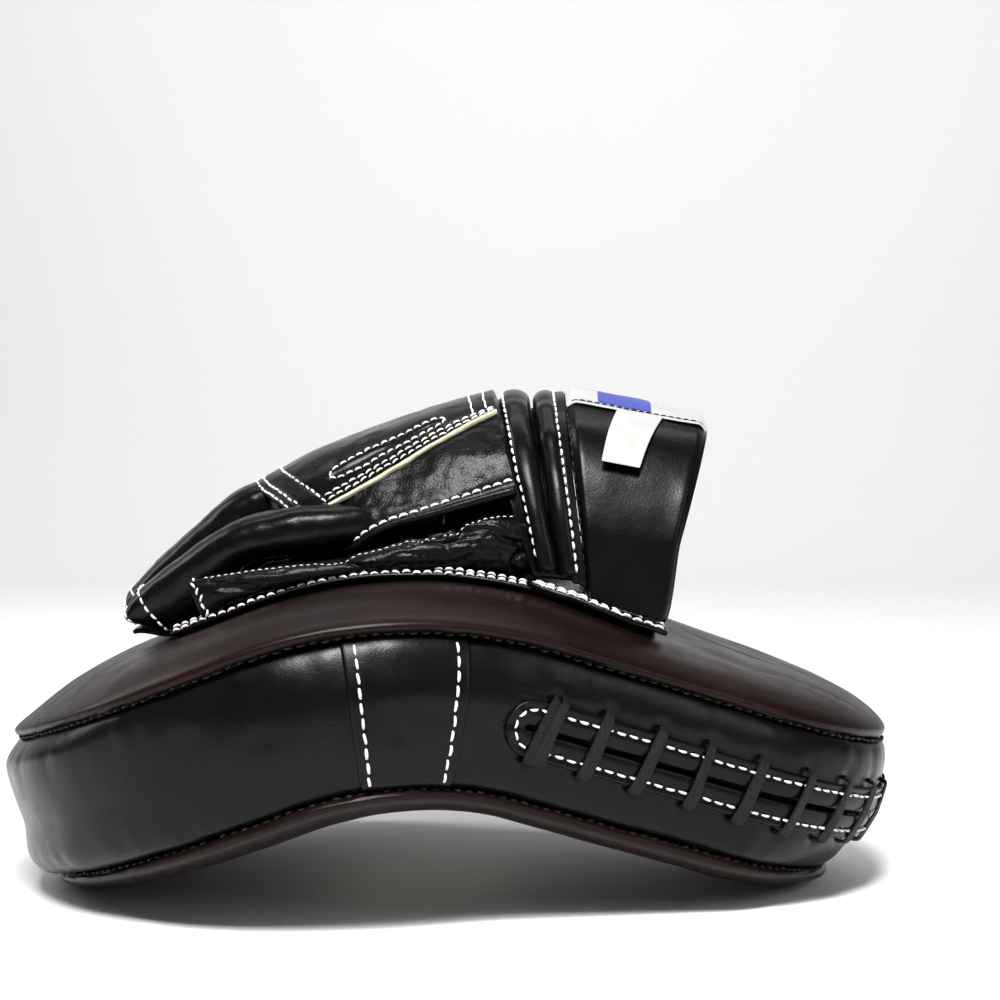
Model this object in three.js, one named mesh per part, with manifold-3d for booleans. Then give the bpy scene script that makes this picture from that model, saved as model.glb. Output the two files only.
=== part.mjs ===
// Focus mitt for the right hand, lying on its striking face. Millimetres, +Z up.
// -X is the finger end, +X the wrist end and -Y the thumb side.
// The pad is laid out flat in a developed frame (s along the pad, y across it, n out of its
// mid-surface) and bent about the Y axis. The glove on its back is lofted between arches.
import * as THREE from "three";
import { mergeVertices } from "three/addons/utils/BufferGeometryUtils.js";
import Module from "manifold-3d";

const wasm = await Module();
wasm.setup();

// ---- driving dimensions: the pad ------------------------------------------------------------
const FINGER_RADIUS = 100; // plan radius of the finger end
const WRIST_RADIUS = 66; // plan radius of the wrist end
const FINGER_CENTRE = -24.2; // s of the finger-end circle's centre, bend line at s = 0
const WRIST_CENTRE = 73.8; // s of the wrist-end circle's centre
const BEND_RADIUS = 102.9; // of the mid-surface
const HALF_BEND = THREE.MathUtils.degToRad(20.17);
const TILT = THREE.MathUtils.degToRad(-1.42); // levels the two ends on the floor
const GUSSET_HEIGHT = 40.9; // between the two seams
const BACK_CROWN = { rise: 10, reach: 38 }; // crown height over the seam, and its width
const FACE_CROWN = { rise: 9, reach: 30 };
const PANEL_LEATHER = 1.6;
const GUSSET_LEATHER = 2;
const GUSSET_BULGE = 1;
const SOLE_GAP = 0.5; // clearance of what lies on the crowned back panel
const GAP = 0.3; // clearance between touching pieces
const FLOOR_CUT = 0.5; // how far each end is flattened where it rests

const TARGET_RADIUS = 38;
const TARGET_THICKNESS = 1;
const TARGET_DROP = 1.5; // clear of the facets of the striking face

const JOIN_PANEL = { from: 169.5, to: 199.7, thickness: 1.3 }; // along the outline
const LACING = {
  from: 211, // outline length where the slit starts
  slit: 1.8, // half height of the slit
  facing: 7.8, // half height of the facing
  facingLeather: 1.2,
  tongue: 15,
  tongueLeather: 1.3,
  holes: 9.4, // height of the lace holes over and under the slit
  holeRadius: 2.2,
  bars: 19,
  firstBar: 221.5,
  slant: 3.4,
  laceRadius: 1.2,
  slitInset: 3, // the slit starts this far behind the end of its facing
  tongueInset: 4,
};
const FOAM = { finger: 2.8, wrist: 8.2, gap: 1.2, coreHalf: 8, slack: 0.9 };
const FOAM_STEP = { from: 8, to: 24 }; // s over which the foam's rim steps back

// ---- driving dimensions: the glove ----------------------------------------------------------
// Arches across the glove: xb, zb is the foot on the thumb side, xt, zt the crown, w the half
// width, p the roundness of the arch and lean how late its crown swings away from the foot.
const ARCH = {
  bandFront: { xb: -27, zb: 31.5, xt: -48, zt: 56.5, w: 43.5, p: 2.8, lean: 3 },
  knuckles: { xb: -16, zb: 32.5, xt: -40.5, zt: 61.5, w: 44.5, p: 2.75, lean: 3 },
  seam: { xb: 38.3, zb: 30.5, xt: 23.3, zt: 85, w: 48, p: 2.15, lean: 1 },
  rollFront: { xb: 39.7, zb: 30.5, xt: 28.4, zt: 81.5, w: 46, p: 2.15, lean: 1 },
  rollRear: { xb: 46, zb: 29.5, xt: 38.2, zt: 81.5, w: 46, p: 2.15, lean: 1 },
  strapFront: { xb: 50.5, zb: 26.5, xt: 43.4, zt: 85.5, w: 48, p: 2.15, lean: 1 },
  strapRear: { xb: 71.5, zb: 24.5, xt: 86.5, zt: 76.5, w: 48, p: 2.15, lean: 1 },
};
const COVER_LEATHER = 1.5;
const COVER_RISE = 2.5; // extra height half-way along the hand back panel
const EDGE_ANGLE = { knuckles: 41, seam: 58 }; // arch angle of the hand back panel's edges
const OPENING_ANGLE = { knuckles: 20, seam: 28 }; // thumb side wall's lower edge
const COVER_SPAN = { from: 0.02, to: 0.975 }; // share of the loft covered, short of the rolls
const COVER_SLACK = 0.8; // degrees of arch left between neighbouring panels
const BINDING = { width: 3, thickness: 0.9, from: 0.05, to: 0.95 };
const BAND = { to: 0.98, low: 30, high: 150 };
const ROLL = { foot: 2.3, crown: 3.9, depth: 3.4 };
const FOOT_ANGLE = 3; // arches start this far over their feet

const SOLE = { from: -63, to: 62, half: 50, leather: 1.2 };
const SOLE_TAPER = { depth: 0.3, power: 4 }; // how the sole narrows to its ends
const PALM_BALL = { s: 2, length: 26, half: 27, height: 15, gap: 0.2, hollow: 0.02 };
const STALL_LEATHER = 1.5;
const STALLS = [
  // root and tip of each stall's centre line, and its half width and half height at both ends
  { name: "index", root: [-28, -33.6, 38.6], tip: [-78, -30, 20.5], a: [10.6, 9.6], b: [8.8, 6] },
  { name: "middle", root: [-38, -11.3, 43.6], tip: [-86, -10.8, 18.5], a: [10.6, 9.6], b: [11, 6] },
  { name: "ring", root: [-38, 11.3, 43.6], tip: [-84, 9, 19.5], a: [10.6, 9.6], b: [11, 6] },
  { name: "little", root: [-28, 33.6, 38.6], tip: [-72, 28.4, 22.5], a: [10.6, 9], b: [8.8, 5.6] },
];
// The cup every stall is mapped from: share of its radius at heights over the tip.
const CUP = {
  radius: 10,
  length: 100,
  tipLeather: 3,
  dome: [
    [0, 0],
    [0.55, 1.2],
    [0.85, 6],
    [1, 16],
    [1, 55],
    [1, 100],
  ],
};
const THUMB = { root: [22, -43.5, 40], tip: [-58, -51.4, 26.5], a: [7.5, 2.8], b: [7.6, 6.6] };
const THUMB_PINCH = 1.9; // how much lower the thumb stall is half-way
const FINGER_SAG = 4; // rise of a stall's centre line half-way
const THUMB_SAG = 9;
const ANCHOR = { from: -76, to: -62, half: 30, leather: 1.2 };

const STRAP = {
  leather: 4,
  shoulder: 35, // arch angle of the peel hinge
  end: 150,
  patch: 1.2,
  underLeather: 3,
  hinge: 0.35, // degrees of arch on each side of the peel hinge
  wallStart: 4,
};
// Pieces on the strap: span is their share of its width, low and high their arch angles.
const HOOK = { span: [0.22, 0.8], low: 88, high: 144 };
const LOOP = { span: [0.2, 0.82], low: 82, high: 158 };
const UNDER = { span: [0.12, 0.9], low: 72, high: 180 - FOOT_ANGLE - 1 };
const LABEL = { span: [0.01, 0.99], low: 66, high: 98, thickness: 0.5 };
const TAG = { span: [0.3, 0.64], low: 45, high: 64.6, thickness: 0.5 };
const FLANGE = { from: 27, to: 63, inner: 46, outer: 57, leather: 1.2, gap: 0.4 };
const FLANGE_ROUND = { from: 0.12, to: 0.75, power: 0.6 }; // part of a sine it follows
const LAYER_GAP = 0.1; // extra clearance over the sole's facets

// ---- mesh resolution ------------------------------------------------------------------------
const RIM_STEPS = 40;
const FOAM_RINGS = [0, 15, 34]; // insets
const CROWN_ANGLES = [0, 25, 50, 70, 90]; // rings of a crowned panel
const INNER_RINGS = [0.66, 0.33, 0];
const TARGET_STEPS = 36;
const WALL_STEPS = { finger: 40, wrist: 36, join: 5, facing: 44 };
const WALL_ROWS = 2;
const HOLE = { length: 8, sides: 6 };
const SLIT_END = 0.02; // how blunt the rounded ends of the slit and of its facing are
const FACING_END = 0.06;
const CUT_DEPTH = 6; // cutters reach this far on both sides of the wall
const LACE_SIDES = 6;
const ROLL_STEPS = 20;
const ROLL_SIDES = 10;
const CUP_SIDES = 12;
const STRAP_STEPS = 5;

// ---- the pad's outline ----------------------------------------------------------------------
const CENTRES = WRIST_CENTRE - FINGER_CENTRE;
const TAPER = Math.asin((FINGER_RADIUS - WRIST_RADIUS) / CENTRES); // slope of the straight sides
const FINGER_ARC = FINGER_RADIUS * (Math.PI / 2 + TAPER);
const SIDE = CENTRES * Math.cos(TAPER);
const HALF_OUTLINE = FINGER_ARC + SIDE + WRIST_RADIUS * (Math.PI / 2 - TAPER);
const PAD_HALF = GUSSET_HEIGHT / 2;

// Point and outward normal at outline length l: from the finger tip along the thumb side to
// the wrist tip, and back along the far side. inset moves the point inwards.
function outline(l, inset = 0) {
  const along = l <= HALF_OUTLINE ? l : 2 * HALF_OUTLINE - l;
  const side = l <= HALF_OUTLINE ? -1 : 1;
  let turn;
  let centre;
  let radius;
  if (along < FINGER_ARC) {
    turn = along / FINGER_RADIUS;
    centre = FINGER_CENTRE;
    radius = FINGER_RADIUS;
  } else if (along < FINGER_ARC + SIDE) {
    const k = (along - FINGER_ARC) / SIDE;
    turn = Math.PI / 2 + TAPER;
    centre = THREE.MathUtils.lerp(FINGER_CENTRE, WRIST_CENTRE, k);
    radius = THREE.MathUtils.lerp(FINGER_RADIUS, WRIST_RADIUS, k);
  } else {
    turn = Math.PI / 2 + TAPER + (along - FINGER_ARC - SIDE) / WRIST_RADIUS;
    centre = WRIST_CENTRE;
    radius = WRIST_RADIUS;
  }
  const ns = -Math.cos(turn);
  const ny = side * Math.sin(turn);
  return { s: centre + (radius - inset) * ns, y: (radius - inset) * ny, ns, ny };
}

// Distance of a point of the plan from the outline, inwards.
function edgeDistance(s, y) {
  const ds = s - FINGER_CENTRE;
  const dy = Math.abs(y);
  const along = ds * Math.cos(TAPER) - dy * Math.sin(TAPER);
  if (along < 0) return FINGER_RADIUS - Math.hypot(ds, dy);
  if (along > SIDE) return WRIST_RADIUS - Math.hypot(s - WRIST_CENTRE, dy);
  return FINGER_RADIUS - ds * Math.sin(TAPER) - dy * Math.cos(TAPER);
}

// Height of a crowned panel's outer surface over the mid-surface.
function crownHeight(crown, distance) {
  const k = 1 - Math.min(Math.max(distance, 0) / crown.reach, 1);
  return PAD_HALF + PANEL_LEATHER + (crown.rise - PANEL_LEATHER) * Math.sqrt(1 - k * k);
}

// Developed point (s, y, n) bent into place.
function bend(s, y, n) {
  const a = THREE.MathUtils.clamp(s / BEND_RADIUS, -HALF_BEND, HALF_BEND);
  const arm = s - a * BEND_RADIUS;
  const r = BEND_RADIUS + n;
  const p = new THREE.Vector3(
    r * Math.sin(a) + arm * Math.cos(a),
    y,
    r * Math.cos(a) - BEND_RADIUS - arm * Math.sin(a),
  );
  return p.applyAxisAngle(new THREE.Vector3(0, 1, 0), TILT);
}

// Point of the side wall: outline length l, height n, depth below its bulged outer surface.
function wall(l, n, depth) {
  const bulge = GUSSET_BULGE * (1 - (n / PAD_HALF) ** 2);
  const p = outline(l, depth - bulge);
  return bend(p.s, p.y, n);
}

// ---- solids ---------------------------------------------------------------------------------
function signedVolume(geometry) {
  const p = geometry.attributes.position;
  const index = geometry.index.array;
  const [a, b, c] = [new THREE.Vector3(), new THREE.Vector3(), new THREE.Vector3()];
  let sum = 0;
  for (let i = 0; i < index.length; i += 3) {
    a.fromBufferAttribute(p, index[i]);
    b.fromBufferAttribute(p, index[i + 1]);
    c.fromBufferAttribute(p, index[i + 2]);
    sum += a.dot(b.cross(c));
  }
  return sum;
}

// Moves each vertex of a closed geometry to map(vertex), with faces kept pointing out.
function shaped(geometry, map) {
  geometry.deleteAttribute("normal");
  geometry.deleteAttribute("uv");
  const merged = mergeVertices(geometry, 1e-5);
  const p = merged.attributes.position;
  const v = new THREE.Vector3();
  for (let i = 0; i < p.count; i++) {
    const q = map(v.fromBufferAttribute(p, i));
    p.setXYZ(i, q.x, q.y, q.z);
  }
  const kept = [];
  const index = merged.index.array;
  for (let i = 0; i < index.length; i += 3) {
    const [a, b, c] = index.subarray(i, i + 3);
    if (a !== b && b !== c && c !== a) kept.push(a, b, c);
  }
  merged.setIndex(kept);
  if (signedVolume(merged) < 0) merged.setIndex(kept.reverse());
  return merged;
}

// Block mapped from the unit cube by map(u, v, w).
function slab(map, nu, nv) {
  const box = new THREE.BoxGeometry(1, 1, 1, nu, nv, 1).translate(0.5, 0.5, 0.5);
  return shaped(box, (q) => map(q.x, q.y, q.z));
}

const lerp = THREE.MathUtils.lerp;
const smoothstep = THREE.MathUtils.smoothstep;
const rad = THREE.MathUtils.degToRad;

function toSolid(geometry) {
  const p = geometry.attributes.position.array;
  const mesh = new wasm.Mesh({
    numProp: 3,
    vertProperties: new Float32Array(p),
    triVerts: new Uint32Array(geometry.index.array),
  });
  return new wasm.Manifold(mesh);
}

function toGeometry(solid) {
  const mesh = solid.getMesh();
  return new THREE.BufferGeometry()
    .setAttribute("position", new THREE.BufferAttribute(mesh.vertProperties, 3))
    .setIndex(new THREE.BufferAttribute(mesh.triVerts, 1));
}

function cut(geometry, ...tools) {
  let solid = toSolid(geometry);
  for (const tool of tools) solid = solid.subtract(toSolid(tool));
  return toGeometry(solid);
}

// ---- the parts ------------------------------------------------------------------------------
const BLACK = { color: 0x100f10, roughness: 0.42, metalness: 0 };
const BROWN = { color: 0x231512, roughness: 0.5, metalness: 0 };
const CREAM = { color: 0xe4dfc2, roughness: 0.6, metalness: 0 };
const FOAM_GREY = { color: 0x8d8f94, roughness: 0.95, metalness: 0 };
const CORD = { color: 0x0b0b0c, roughness: 0.8, metalness: 0 };
const TOUCH = { color: 0x151517, roughness: 1, metalness: 0 };
const WHITE = { color: 0xf2f2ee, roughness: 0.45, metalness: 0 };

const mitt = new THREE.Group();

function add(name, geometry, look) {
  geometry.computeVertexNormals();
  const mesh = new THREE.Mesh(geometry, new THREE.MeshStandardMaterial(look));
  mesh.name = name;
  mitt.add(mesh);
}

// Closed disc over the pad's plan: insets lists its rings inwards from the rim, inset(l) is the
// rim's own inset, and height(w, s, y) the height of its lower (w = 0) and upper (w = 1) side.
function padDisc(insets, rimInset, height) {
  const rings = insets.length + INNER_RINGS.length;
  const middle = (FINGER_CENTRE + WRIST_CENTRE) / 2;
  const profile = [];
  for (let k = 0; k < rings; k++) profile.push(new THREE.Vector2(k, 0));
  for (let k = rings - 1; k >= 0; k--) profile.push(new THREE.Vector2(k, 1));
  const lathe = new THREE.LatheGeometry(profile, RIM_STEPS);
  return shaped(lathe, (q) => {
    const ring = rings - 1 - Math.round(Math.hypot(q.x, q.z));
    const turn = (Math.atan2(q.z, q.x) / (2 * Math.PI) + 1) % 1;
    const l = turn * 2 * HALF_OUTLINE;
    const inset = insets[Math.min(ring, insets.length - 1)];
    const rim = outline(l, inset + rimInset(l));
    const k = ring < insets.length ? 1 : INNER_RINGS[ring - insets.length];
    const s = lerp(middle, rim.s, k);
    const y = rim.y * k;
    return bend(s, y, height(Math.round(q.y), s, y));
  });
}

function crownRings(crown) {
  return CROWN_ANGLES.map((angle) => crown.reach * (1 - Math.cos(rad(angle))));
}

function panels() {
  const flat = () => 0;
  const back = (w, s, y) =>
    crownHeight(BACK_CROWN, edgeDistance(s, y)) - (w ? 0 : PANEL_LEATHER);
  add("back_panel", padDisc(crownRings(BACK_CROWN), flat, back), BROWN);

  const face = (w, s, y) =>
    -crownHeight(FACE_CROWN, edgeDistance(s, y)) + (w ? PANEL_LEATHER : 0);
  const panel = padDisc(crownRings(FACE_CROWN), flat, face);
  panel.computeBoundingBox();
  const box = panel.boundingBox;
  const size = box.getSize(new THREE.Vector3());
  const floor = new THREE.BoxGeometry(size.x * 2, size.y * 2, size.z);
  floor.translate(0, 0, box.min.z + FLOOR_CUT - size.z / 2);
  add("face_panel", cut(panel, shaped(floor, (q) => q)), BROWN);

  const profile = [
    new THREE.Vector2(0, 0),
    new THREE.Vector2(TARGET_RADIUS / 2, 0),
    new THREE.Vector2(TARGET_RADIUS, 0),
    new THREE.Vector2(TARGET_RADIUS, 1),
    new THREE.Vector2(TARGET_RADIUS / 2, 1),
    new THREE.Vector2(0, 1),
  ];
  const top = -PAD_HALF - FACE_CROWN.rise - TARGET_DROP;
  const target = shaped(new THREE.LatheGeometry(profile, TARGET_STEPS), (q) =>
    bend(q.x, q.z, top - TARGET_THICKNESS * q.y),
  );
  add("target_disc", target, CREAM);
}

function foam() {
  // The rim steps back at the wrist end to clear the lacing.
  const rimInset = (l) => {
    const p = outline(l);
    return lerp(FOAM.finger, FOAM.wrist, smoothstep(p.s, FOAM_STEP.from, FOAM_STEP.to));
  };
  const coreTop = (w) => (w ? FOAM.coreHalf : -FOAM.coreHalf) - Math.sign(w - 0.5) * FOAM.gap / 2;
  const under = (crown, s, y) =>
    crownHeight(crown, edgeDistance(s, y)) - PANEL_LEATHER - FOAM.gap - FOAM.slack;
  const back = (w, s, y) => (w ? under(BACK_CROWN, s, y) : FOAM.coreHalf + FOAM.gap / 2);
  const strike = (w, s, y) => (w ? -FOAM.coreHalf - FOAM.gap / 2 : -under(FACE_CROWN, s, y));
  add("foam_back_layer", padDisc(FOAM_RINGS, rimInset, back), FOAM_GREY);
  add("foam_core_layer", padDisc(FOAM_RINGS, rimInset, coreTop), FOAM_GREY);
  add("foam_strike_layer", padDisc(FOAM_RINGS, rimInset, strike), FOAM_GREY);
}

// Strip of the side wall between two outline lengths.
function wallStrip(from, to, half, outer, leather, steps) {
  return slab(
    (u, v, w) => wall(lerp(from, to, u), lerp(-half, half, v), outer + leather * (1 - w)),
    steps,
    WALL_ROWS,
  );
}

// Half height of a strip with rounded ends, as a share, where least is its share at the very
// ends and along how far from the nearer end over the end's radius.
function roundedEnd(along, least) {
  return Math.sqrt(Math.max(least, 1 - (1 - Math.min(along, 1)) ** 2));
}

// Stadium cutter through the side wall.
function slitCutter(from, to, half) {
  return slab(
    (u, v, w) => {
      const l = lerp(from, to, u);
      const open = half * roundedEnd(Math.min(l - from, to - l) / half, SLIT_END);
      return wall(l, lerp(-open, open, v), lerp(-CUT_DEPTH, CUT_DEPTH, 1 - w));
    },
    WALL_STEPS.wrist,
    1,
  );
}

function barPlaces() {
  const pitch = (2 * (HALF_OUTLINE - LACING.firstBar)) / (LACING.bars - 1);
  return Array.from({ length: LACING.bars }, (_, i) => LACING.firstBar + i * pitch);
}

function walls() {
  const half = PAD_HALF - 2 * GAP;
  const joinFar = 2 * HALF_OUTLINE;
  const middle = (JOIN_PANEL.from + JOIN_PANEL.to) / 2;
  const fingerStrip = slab(
    (u, v, w) => {
      const l = lerp(-middle + GAP, middle - GAP, u);
      const n = lerp(-half, half, v);
      return wall(l < 0 ? l + joinFar : l, n, GUSSET_LEATHER * (1 - w));
    },
    WALL_STEPS.finger,
    WALL_ROWS,
  );
  add("gusset_finger_end", fingerStrip, BLACK);

  const holes = [];
  for (const l of barPlaces())
    for (const side of [-1, 1]) {
      const hole = new THREE.CylinderGeometry(
        LACING.holeRadius,
        LACING.holeRadius,
        HOLE.length,
        HOLE.sides,
      );
      const at = l + (side * LACING.slant) / 2;
      holes.push(
        shaped(hole, (q) => wall(at + q.x, side * LACING.holes + q.z, q.y)),
      );
    }
  const slitFrom = LACING.from + LACING.slitInset;
  const gusset = wallStrip(
    middle + GAP,
    joinFar - middle - GAP,
    half,
    0,
    GUSSET_LEATHER,
    WALL_STEPS.wrist,
  );
  const slit = slitCutter(slitFrom, joinFar - slitFrom, LACING.slit);
  add("gusset_wrist_end", cut(gusset, slit, ...holes), BLACK);

  for (const [name, from, to] of [
    ["side_panel_thumb", JOIN_PANEL.from, JOIN_PANEL.to],
    ["side_panel_far", joinFar - JOIN_PANEL.to, joinFar - JOIN_PANEL.from],
  ]) {
    const outer = -JOIN_PANEL.thickness - GAP;
    add(name, wallStrip(from, to, half, outer, JOIN_PANEL.thickness, WALL_STEPS.join), BLACK);
  }

  const outer = -LACING.facingLeather - GAP;
  const facing = slab(
    (u, v, w) => {
      const l = lerp(LACING.from, joinFar - LACING.from, u);
      const nearEnd = Math.min(l - LACING.from, joinFar - LACING.from - l) / LACING.facing;
      const n = LACING.facing * roundedEnd(nearEnd, FACING_END) * lerp(-1, 1, v);
      return wall(l, n, outer + LACING.facingLeather * (1 - w));
    },
    WALL_STEPS.facing,
    1,
  );
  add("lace_facing", cut(facing, slit), BLACK);

  const tongueDepth = GUSSET_LEATHER + 2 * LACING.laceRadius + 3 * GAP;
  const tongue = wallStrip(
    LACING.from + LACING.tongueInset,
    joinFar - LACING.from - LACING.tongueInset,
    LACING.tongue,
    tongueDepth,
    LACING.tongueLeather,
    WALL_STEPS.wrist,
  );
  add("lace_tongue", tongue, BLACK);
}

// The lace: bars up the outside, slanted runs to the next bar on the inside.
function lace() {
  const outside = -LACING.facingLeather - 2 * GAP - LACING.laceRadius;
  const inside = GUSSET_LEATHER + GAP + LACING.laceRadius;
  const path = [];
  for (const l of barPlaces()) {
    const foot = l - LACING.slant / 2;
    const head = l + LACING.slant / 2;
    path.push(wall(foot, -LACING.holes, inside), wall(foot, -LACING.holes, outside));
    path.push(wall(l, 0, outside));
    path.push(wall(head, LACING.holes, outside), wall(head, LACING.holes, inside));
  }
  // Frames carried along the path without twist, tilted half-way at each corner.
  const frames = [];
  let side = new THREE.Vector3(0, 0, 1);
  path.forEach((p, i) => {
    const before = path[Math.max(i - 1, 0)];
    const after = path[Math.min(i + 1, path.length - 1)];
    const ahead = after.clone().sub(before).normalize();
    side = side.clone().addScaledVector(ahead, -side.dot(ahead)).normalize();
    frames.push({ p, side, up: ahead.clone().cross(side) });
  });
  const last = path.length - 1;
  const tube = new THREE.CylinderGeometry(1, 1, last, LACE_SIDES, last).translate(0, last / 2, 0);
  const geometry = shaped(tube, (q) => {
    const f = frames[Math.round(q.y)];
    return f.p
      .clone()
      .addScaledVector(f.side, LACING.laceRadius * q.x)
      .addScaledVector(f.up, LACING.laceRadius * q.z);
  });
  add("lace", geometry, CORD);
}

// ---- the glove ------------------------------------------------------------------------------
function archPoint(arch, angle) {
  const power = 2 / arch.p;
  const c = Math.cos(rad(angle));
  const h = Math.abs(Math.sin(rad(angle))) ** power;
  return new THREE.Vector3(
    lerp(arch.xb, arch.xt, h ** arch.lean),
    -arch.w * Math.sign(c) * Math.abs(c) ** power,
    lerp(arch.zb, arch.zt, h),
  );
}

function between(a, b, k) {
  const arch = {};
  for (const key of Object.keys(a)) arch[key] = lerp(a[key], b[key], k);
  return arch;
}

// Surface lofted between two arches: k runs from one to the other, angle across, and depth
// goes in from the outside.
function loft(a, b, rise = 0) {
  const at = (k, angle) => {
    const arch = between(a, b, k);
    arch.zt += rise * Math.sin(Math.PI * THREE.MathUtils.clamp(k, 0, 1));
    return archPoint(arch, angle);
  };
  return (k, angle, depth) => {
    const p = at(k, angle);
    if (!depth) return p;
    const step = 0.01;
    const alongK = at(k + step, angle).sub(at(k - step, angle));
    const alongAngle = at(k, angle + 1).sub(at(k, angle - 1));
    const normal = alongAngle.cross(alongK).normalize();
    if (normal.dot(new THREE.Vector3(0, -Math.cos(rad(angle)), Math.sin(rad(angle)))) < 0)
      normal.negate();
    return p.addScaledVector(normal, -depth);
  };
}

const cover = loft(ARCH.knuckles, ARCH.seam, COVER_RISE);
const band = loft(ARCH.bandFront, ARCH.knuckles);
const strap = loft(ARCH.strapFront, ARCH.strapRear);
const edgeAngle = (k) => lerp(EDGE_ANGLE.knuckles, EDGE_ANGLE.seam, k);

function sheet(surface, from, to, low, high, outer, thickness, nu, nv) {
  return slab(
    (u, v, w) => {
      const k = lerp(from, to, u);
      return surface(k, lerp(low(k), high(k), v), outer + thickness * (1 - w));
    },
    nu,
    nv,
  );
}

const always = (value) => () => value;

function handCover() {
  const opening = (k) => lerp(OPENING_ANGLE.knuckles, OPENING_ANGLE.seam, k);
  const near = (k) => edgeAngle(k) - COVER_SLACK;
  const far = (k) => 180 - edgeAngle(k) + COVER_SLACK;
  const farEdge = (k) => 180 - edgeAngle(k);
  const covered = (low, high, nu, nv) =>
    sheet(cover, COVER_SPAN.from, COVER_SPAN.to, low, high, 0, COVER_LEATHER, nu, nv);
  add("hand_back_panel", covered(edgeAngle, farEdge, 8, 12), BLACK);
  add("side_wall_thumb", covered(opening, near, 6, 4), BLACK);
  add("side_wall_far", covered(far, always(180 - FOOT_ANGLE), 6, 5), BLACK);

  const lift = -BINDING.thickness - GAP;
  const wide = (BINDING.width / ARCH.seam.w) * (180 / Math.PI);
  const binding = (low, high) =>
    sheet(cover, BINDING.from, BINDING.to, low, high, lift, BINDING.thickness, 12, 1);
  add("edge_binding_thumb", binding(edgeAngle, (k) => edgeAngle(k) + wide), CREAM);
  add("edge_binding_far", binding((k) => farEdge(k) - wide, farEdge), CREAM);

  const { low, high } = BAND;
  const bandSheet = sheet(band, 0, BAND.to, always(low), always(high), 0, COVER_LEATHER, 2, 12);
  add("knuckle_band", bandSheet, BLACK);
}

// Round bar along an arch, thinner at its feet.
function archRoll(arch) {
  const tube = new THREE.CylinderGeometry(1, 1, 1, ROLL_SIDES, ROLL_STEPS).translate(0, 0.5, 0);
  return shaped(tube, (q) => {
    const angle = lerp(FOOT_ANGLE, 180 - FOOT_ANGLE, q.y);
    const p = archPoint(arch, angle);
    const tangent = archPoint(arch, angle + 1).sub(archPoint(arch, angle - 1)).normalize();
    const across = new THREE.Vector3(1, 0, 0);
    across.addScaledVector(tangent, -across.dot(tangent)).normalize();
    const out = across.clone().cross(tangent);
    const half = lerp(ROLL.foot, ROLL.crown, Math.sin(rad(angle)));
    return p.addScaledVector(across, half * q.x).addScaledVector(out, ROLL.depth * q.z);
  });
}

// Cup with an oval section along a sagging centre line, open at its root.
function cup({ root, tip, a, b }, leather, sag, pinch = 0) {
  const inner = CUP.radius - leather;
  const profile = CUP.dome.map(([k, h]) => new THREE.Vector2(CUP.radius * k, h));
  for (const [k, h] of CUP.dome.slice().reverse())
    profile.push(new THREE.Vector2(inner * k, Math.min(h + CUP.tipLeather, CUP.length)));
  const lathe = new THREE.LatheGeometry(profile, CUP_SIDES);
  const end = new THREE.Vector3(...tip);
  const start = new THREE.Vector3(...root);
  const knee = end.clone().add(start).multiplyScalar(0.5).add(new THREE.Vector3(0, 0, sag));
  const line = new THREE.QuadraticBezierCurve3(end, knee, start);
  return shaped(lathe, (q) => {
    const k = THREE.MathUtils.clamp(q.y / CUP.length, 0, 1);
    const p = line.getPoint(k);
    const up = line.getTangent(k).cross(new THREE.Vector3(0, 1, 0)).normalize().negate();
    if (up.z < 0) up.negate();
    p.y += (lerp(a[1], a[0], k) * q.x) / CUP.radius;
    const half = lerp(b[1], b[0], k) - pinch * Math.sin(Math.PI * k);
    return p.addScaledVector(up, (half * q.z) / CUP.radius);
  });
}

function stalls() {
  for (const stall of STALLS)
    add("finger_stall_" + stall.name, cup(stall, STALL_LEATHER, FINGER_SAG), BLACK);
  add("thumb_stall", cup(THUMB, STALL_LEATHER, THUMB_SAG, THUMB_PINCH), BLACK);
}

// Piece lying on the crowned back panel.
function onBack(s, y, lift) {
  return bend(s, y, crownHeight(BACK_CROWN, edgeDistance(s, y)) + lift);
}

function soleAndFeet() {
  const sole = slab(
    (u, v, w) => {
      const s = lerp(SOLE.from, SOLE.to, u);
      const ends = 1 - SOLE_TAPER.depth * Math.abs(2 * u - 1) ** SOLE_TAPER.power;
      return onBack(s, SOLE.half * ends * lerp(-1, 1, v), SOLE_GAP + SOLE.leather * w);
    },
    12,
    6,
  );
  add("glove_base", sole, BLACK);

  const lift = SOLE_GAP + SOLE.leather + GAP + LAYER_GAP;
  const tab = slab(
    (u, v, w) =>
      onBack(lerp(ANCHOR.from, ANCHOR.to, u), ANCHOR.half * (2 * v - 1), lift + ANCHOR.leather * w),
    2,
    5,
  );
  add("fingertip_anchor", tab, BLACK);

  for (const [name, side] of [
    ["strap_base_flange", -1],
    ["cuff_base_flange_far", 1],
  ]) {
    const flange = slab(
      (u, v, w) => {
        const s = lerp(FLANGE.from, FLANGE.to, u);
        const turn = Math.PI * lerp(FLANGE_ROUND.from, FLANGE_ROUND.to, u);
        const taper = Math.sin(turn) ** FLANGE_ROUND.power;
        const y = lerp(FLANGE.inner, lerp(FLANGE.inner, FLANGE.outer, taper), v);
        return onBack(s, side * y, lift + FLANGE.gap + FLANGE.leather * w);
      },
      8,
      2,
    );
    add(name, flange, BLACK);
  }

  const ball = new THREE.SphereGeometry(1, 16, 10);
  const palm = shaped(ball, (q) => {
    const up = Math.max(q.y, 0);
    return onBack(
      PALM_BALL.s + PALM_BALL.length * q.x,
      PALM_BALL.half * q.z,
      lift + PALM_BALL.gap + PALM_BALL.height * up + PALM_BALL.hollow * (1 + q.y),
    );
  });
  add("palm_ball", palm, BLACK);
}

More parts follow.
